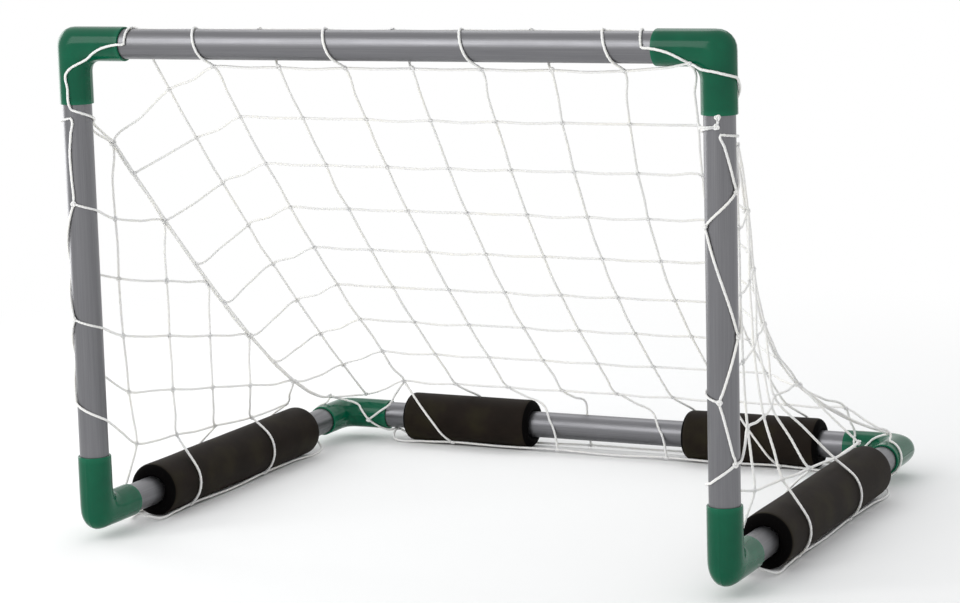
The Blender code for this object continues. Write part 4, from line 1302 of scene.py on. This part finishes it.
def top_corner(net, side):
    bare, arm = crossbar_round(TUBE_RADIUS), crossbar_round(ELBOW_RADIUS)
    post, post_arm = post_round(side, TUBE_RADIUS), post_round(side, ELBOW_RADIUS)
    start, begin = ("bar_end", LIP_X - BAR_END) if side == RIGHT else (("bar", 0), LIP_X - BAR_START)
    over = bare.wind((side * begin, BAR_REST), (side * (LIP_X - 7 * MM), 175))
    over += [arm.at(side * (LIP_X + step), angle) for step, angle in OVER_ELBOW]
    corner = net.knot(("corner", side), arm.at(side * (LIP_X + 31 * MM), 228))
    net.strand(start, corner, over)
    tie = (LIP_Z + TIE[side][0], TIE[side][1])
    net.knot(("tie", side), post.at(*tie))
    inner = (LIP_Z - 16 * MM, -150)
    net.knot(("inner", side), post.at(*inner))
    net.strand(("tie", side), ("inner", side), post.turn(tie, inner))
    if side == LEFT:
        down = [post_arm.at(LIP_Z + 26 * MM, -2), post_arm.at(LIP_Z + 1 * MM, tie[1] / 2)]
        net.strand(corner, ("tie", side), down)
    else:
        bend = Spot(Vector((HALF_WIDTH - 8 * MM, -ELBOW_RADIUS - 2 * MM, GOAL_HEIGHT - 15 * MM)))
        near, beside, far = (LIP_Z + 33 * MM, 10), (LIP_Z + 28 * MM, 80), (LIP_Z - 1 * MM, 188)
        round_it = [bend, post_arm.at(*near), *post_arm.wind(near, beside, far)]
        net.strand(corner, ("inner", side), round_it)
        net.knot("tail", post.at(LIP_Z - 1 * MM, tie[1] + 4))
        net.strand(("tie", side), "tail")
        net.strand(("tie", side), (COLUMNS - 1, 1), post.leave(tie, net.place((COLUMNS - 1, 1)), -1))
        net.strand((COLUMNS - 2, 0), corner, [arm.at(LIP_X + 10 * MM, 255)])
        net.strand(corner, (COLUMNS - 1, 1))


print("strands that come down from the crossbar:", COLUMNS - 1)

# %% [markdown]
# The back panel's foot goes round the rear tube and its floats as the side panels' feet do. Between the
# two floats a strand comes up round the bare tube and over the end of a float to its knot. At a rear
# corner the seam ends over the elbow, and its cord dips round the arm to the border cords underneath.

# %% The back panel's foot
FRONT, BEHIND = OUTSIDE, INSIDE  # the same two ways round, at the rear tube
REAR_ENDS = 11 * MM - LIP_X, LIP_X - 11 * MM
BARE_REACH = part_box("float_rear_right")[0].x - 12 * MM  # of the bare tube, to each side of its middle
CLIMB = 62  # the angle at which a strand comes up on to a float's end


def rear_foot(net):
    bare, foam = rear_round(TUBE_RADIUS), rear_round(FLOAT_RADIUS)
    low_knots = {FRONT: [("under", LEFT)], BEHIND: [("under", LEFT)]}
    for side in (LEFT, RIGHT):
        net.knot(("under", side), bare.at(side * (LIP_X - 7 * MM), UNDER))
    for column in range(1, COLUMNS):
        knot = net.place((column, BACK_ROWS))
        way = FRONT if column % 2 else BEHIND
        along = knot.x + (REAR_LEAN if way == FRONT else REAR_LEAN / 5)
        name = net.knot(("low", column), foam.at(along, LOW[way]))
        via = foam.leave((along, LOW[way]), knot, way)
        if abs(along) < BARE_REACH:
            edge = max(-BARE_REACH, min(BARE_REACH, lerp(along, knot.x, 0.35)))
            face, rise = (0, CLIMB) if way == FRONT else (180, 180 - CLIMB)
            via = [bare.at(lerp(along, edge, 0.3), face), bare.at(lerp(along, edge, 0.6), (face + rise) / 2)]
            via.append(foam.at(edge, rise))
        net.strand(name, (column, BACK_ROWS), via)
        low_knots[way].append(name)
    border_cords(net, foam, low_knots, REAR_ENDS, ("under", RIGHT))


def rear_corner(net, side):
    bare, arm, foam = rear_round(TUBE_RADIUS), rear_round(ELBOW_RADIUS), rear_round(FLOAT_RADIUS)
    column = 0
    if side == RIGHT:
        column = COLUMNS
        net.knot((column, BACK_ROWS), back_point(column, BACK_ROWS))
        net.line([(column - 1, BACK_ROWS), (column, BACK_ROWS), ("seam", RIGHT, BACK_ROWS - 1)])
    net.strand(("end", side), (column, BACK_ROWS))
    near, dip = (side * (LIP_X + 29 * MM), 40), (side * (LIP_X + 17 * MM), -13)
    edge = (side * (LIP_X - 1 * MM), -70)
    net.knot(("dip", side), arm.at(*dip))
    corner = Vector((side * (HALF_WIDTH - 9 * MM), GOAL_DEPTH - 20 * MM, ELBOW_RADIUS + 2 * MM))
    net.strand(("end", side), ("dip", side), [Spot(corner), arm.at(*near), *arm.turn(near, dip)])
    net.strand(("dip", side), ("under", side), arm.wind(dip, edge))
    if side == LEFT:
        up = [arm.at(-LIP_X - 5 * MM, 20), bare.at(6 * MM - LIP_X, 45, 5 * MM), foam.at(11 * MM - LIP_X, 62)]
        net.strand(("dip", side), (1, BACK_ROWS), up)
    else:
        up = [arm.at(LIP_X + 12 * MM, 20), arm.at(LIP_X + 12 * MM, 50, 3 * MM)]
        net.strand(("dip", side), (column, BACK_ROWS), up)


print(f"strands within {BARE_REACH:.3f} m of the middle come up round the bare rear tube")

# %% Back panel
panel = Panel("net_back", Y + Z, seed=1)
back_grid(panel)
crossbar_border(panel)
for side in (LEFT, RIGHT):
    top_corner(panel, side)
    back_seam(panel, side)
rear_foot(panel)
for side in (LEFT, RIGHT):
    rear_corner(panel, side)
new_piece("net_back_twine", panel.mesh(), [twine], "frame", "net_back")
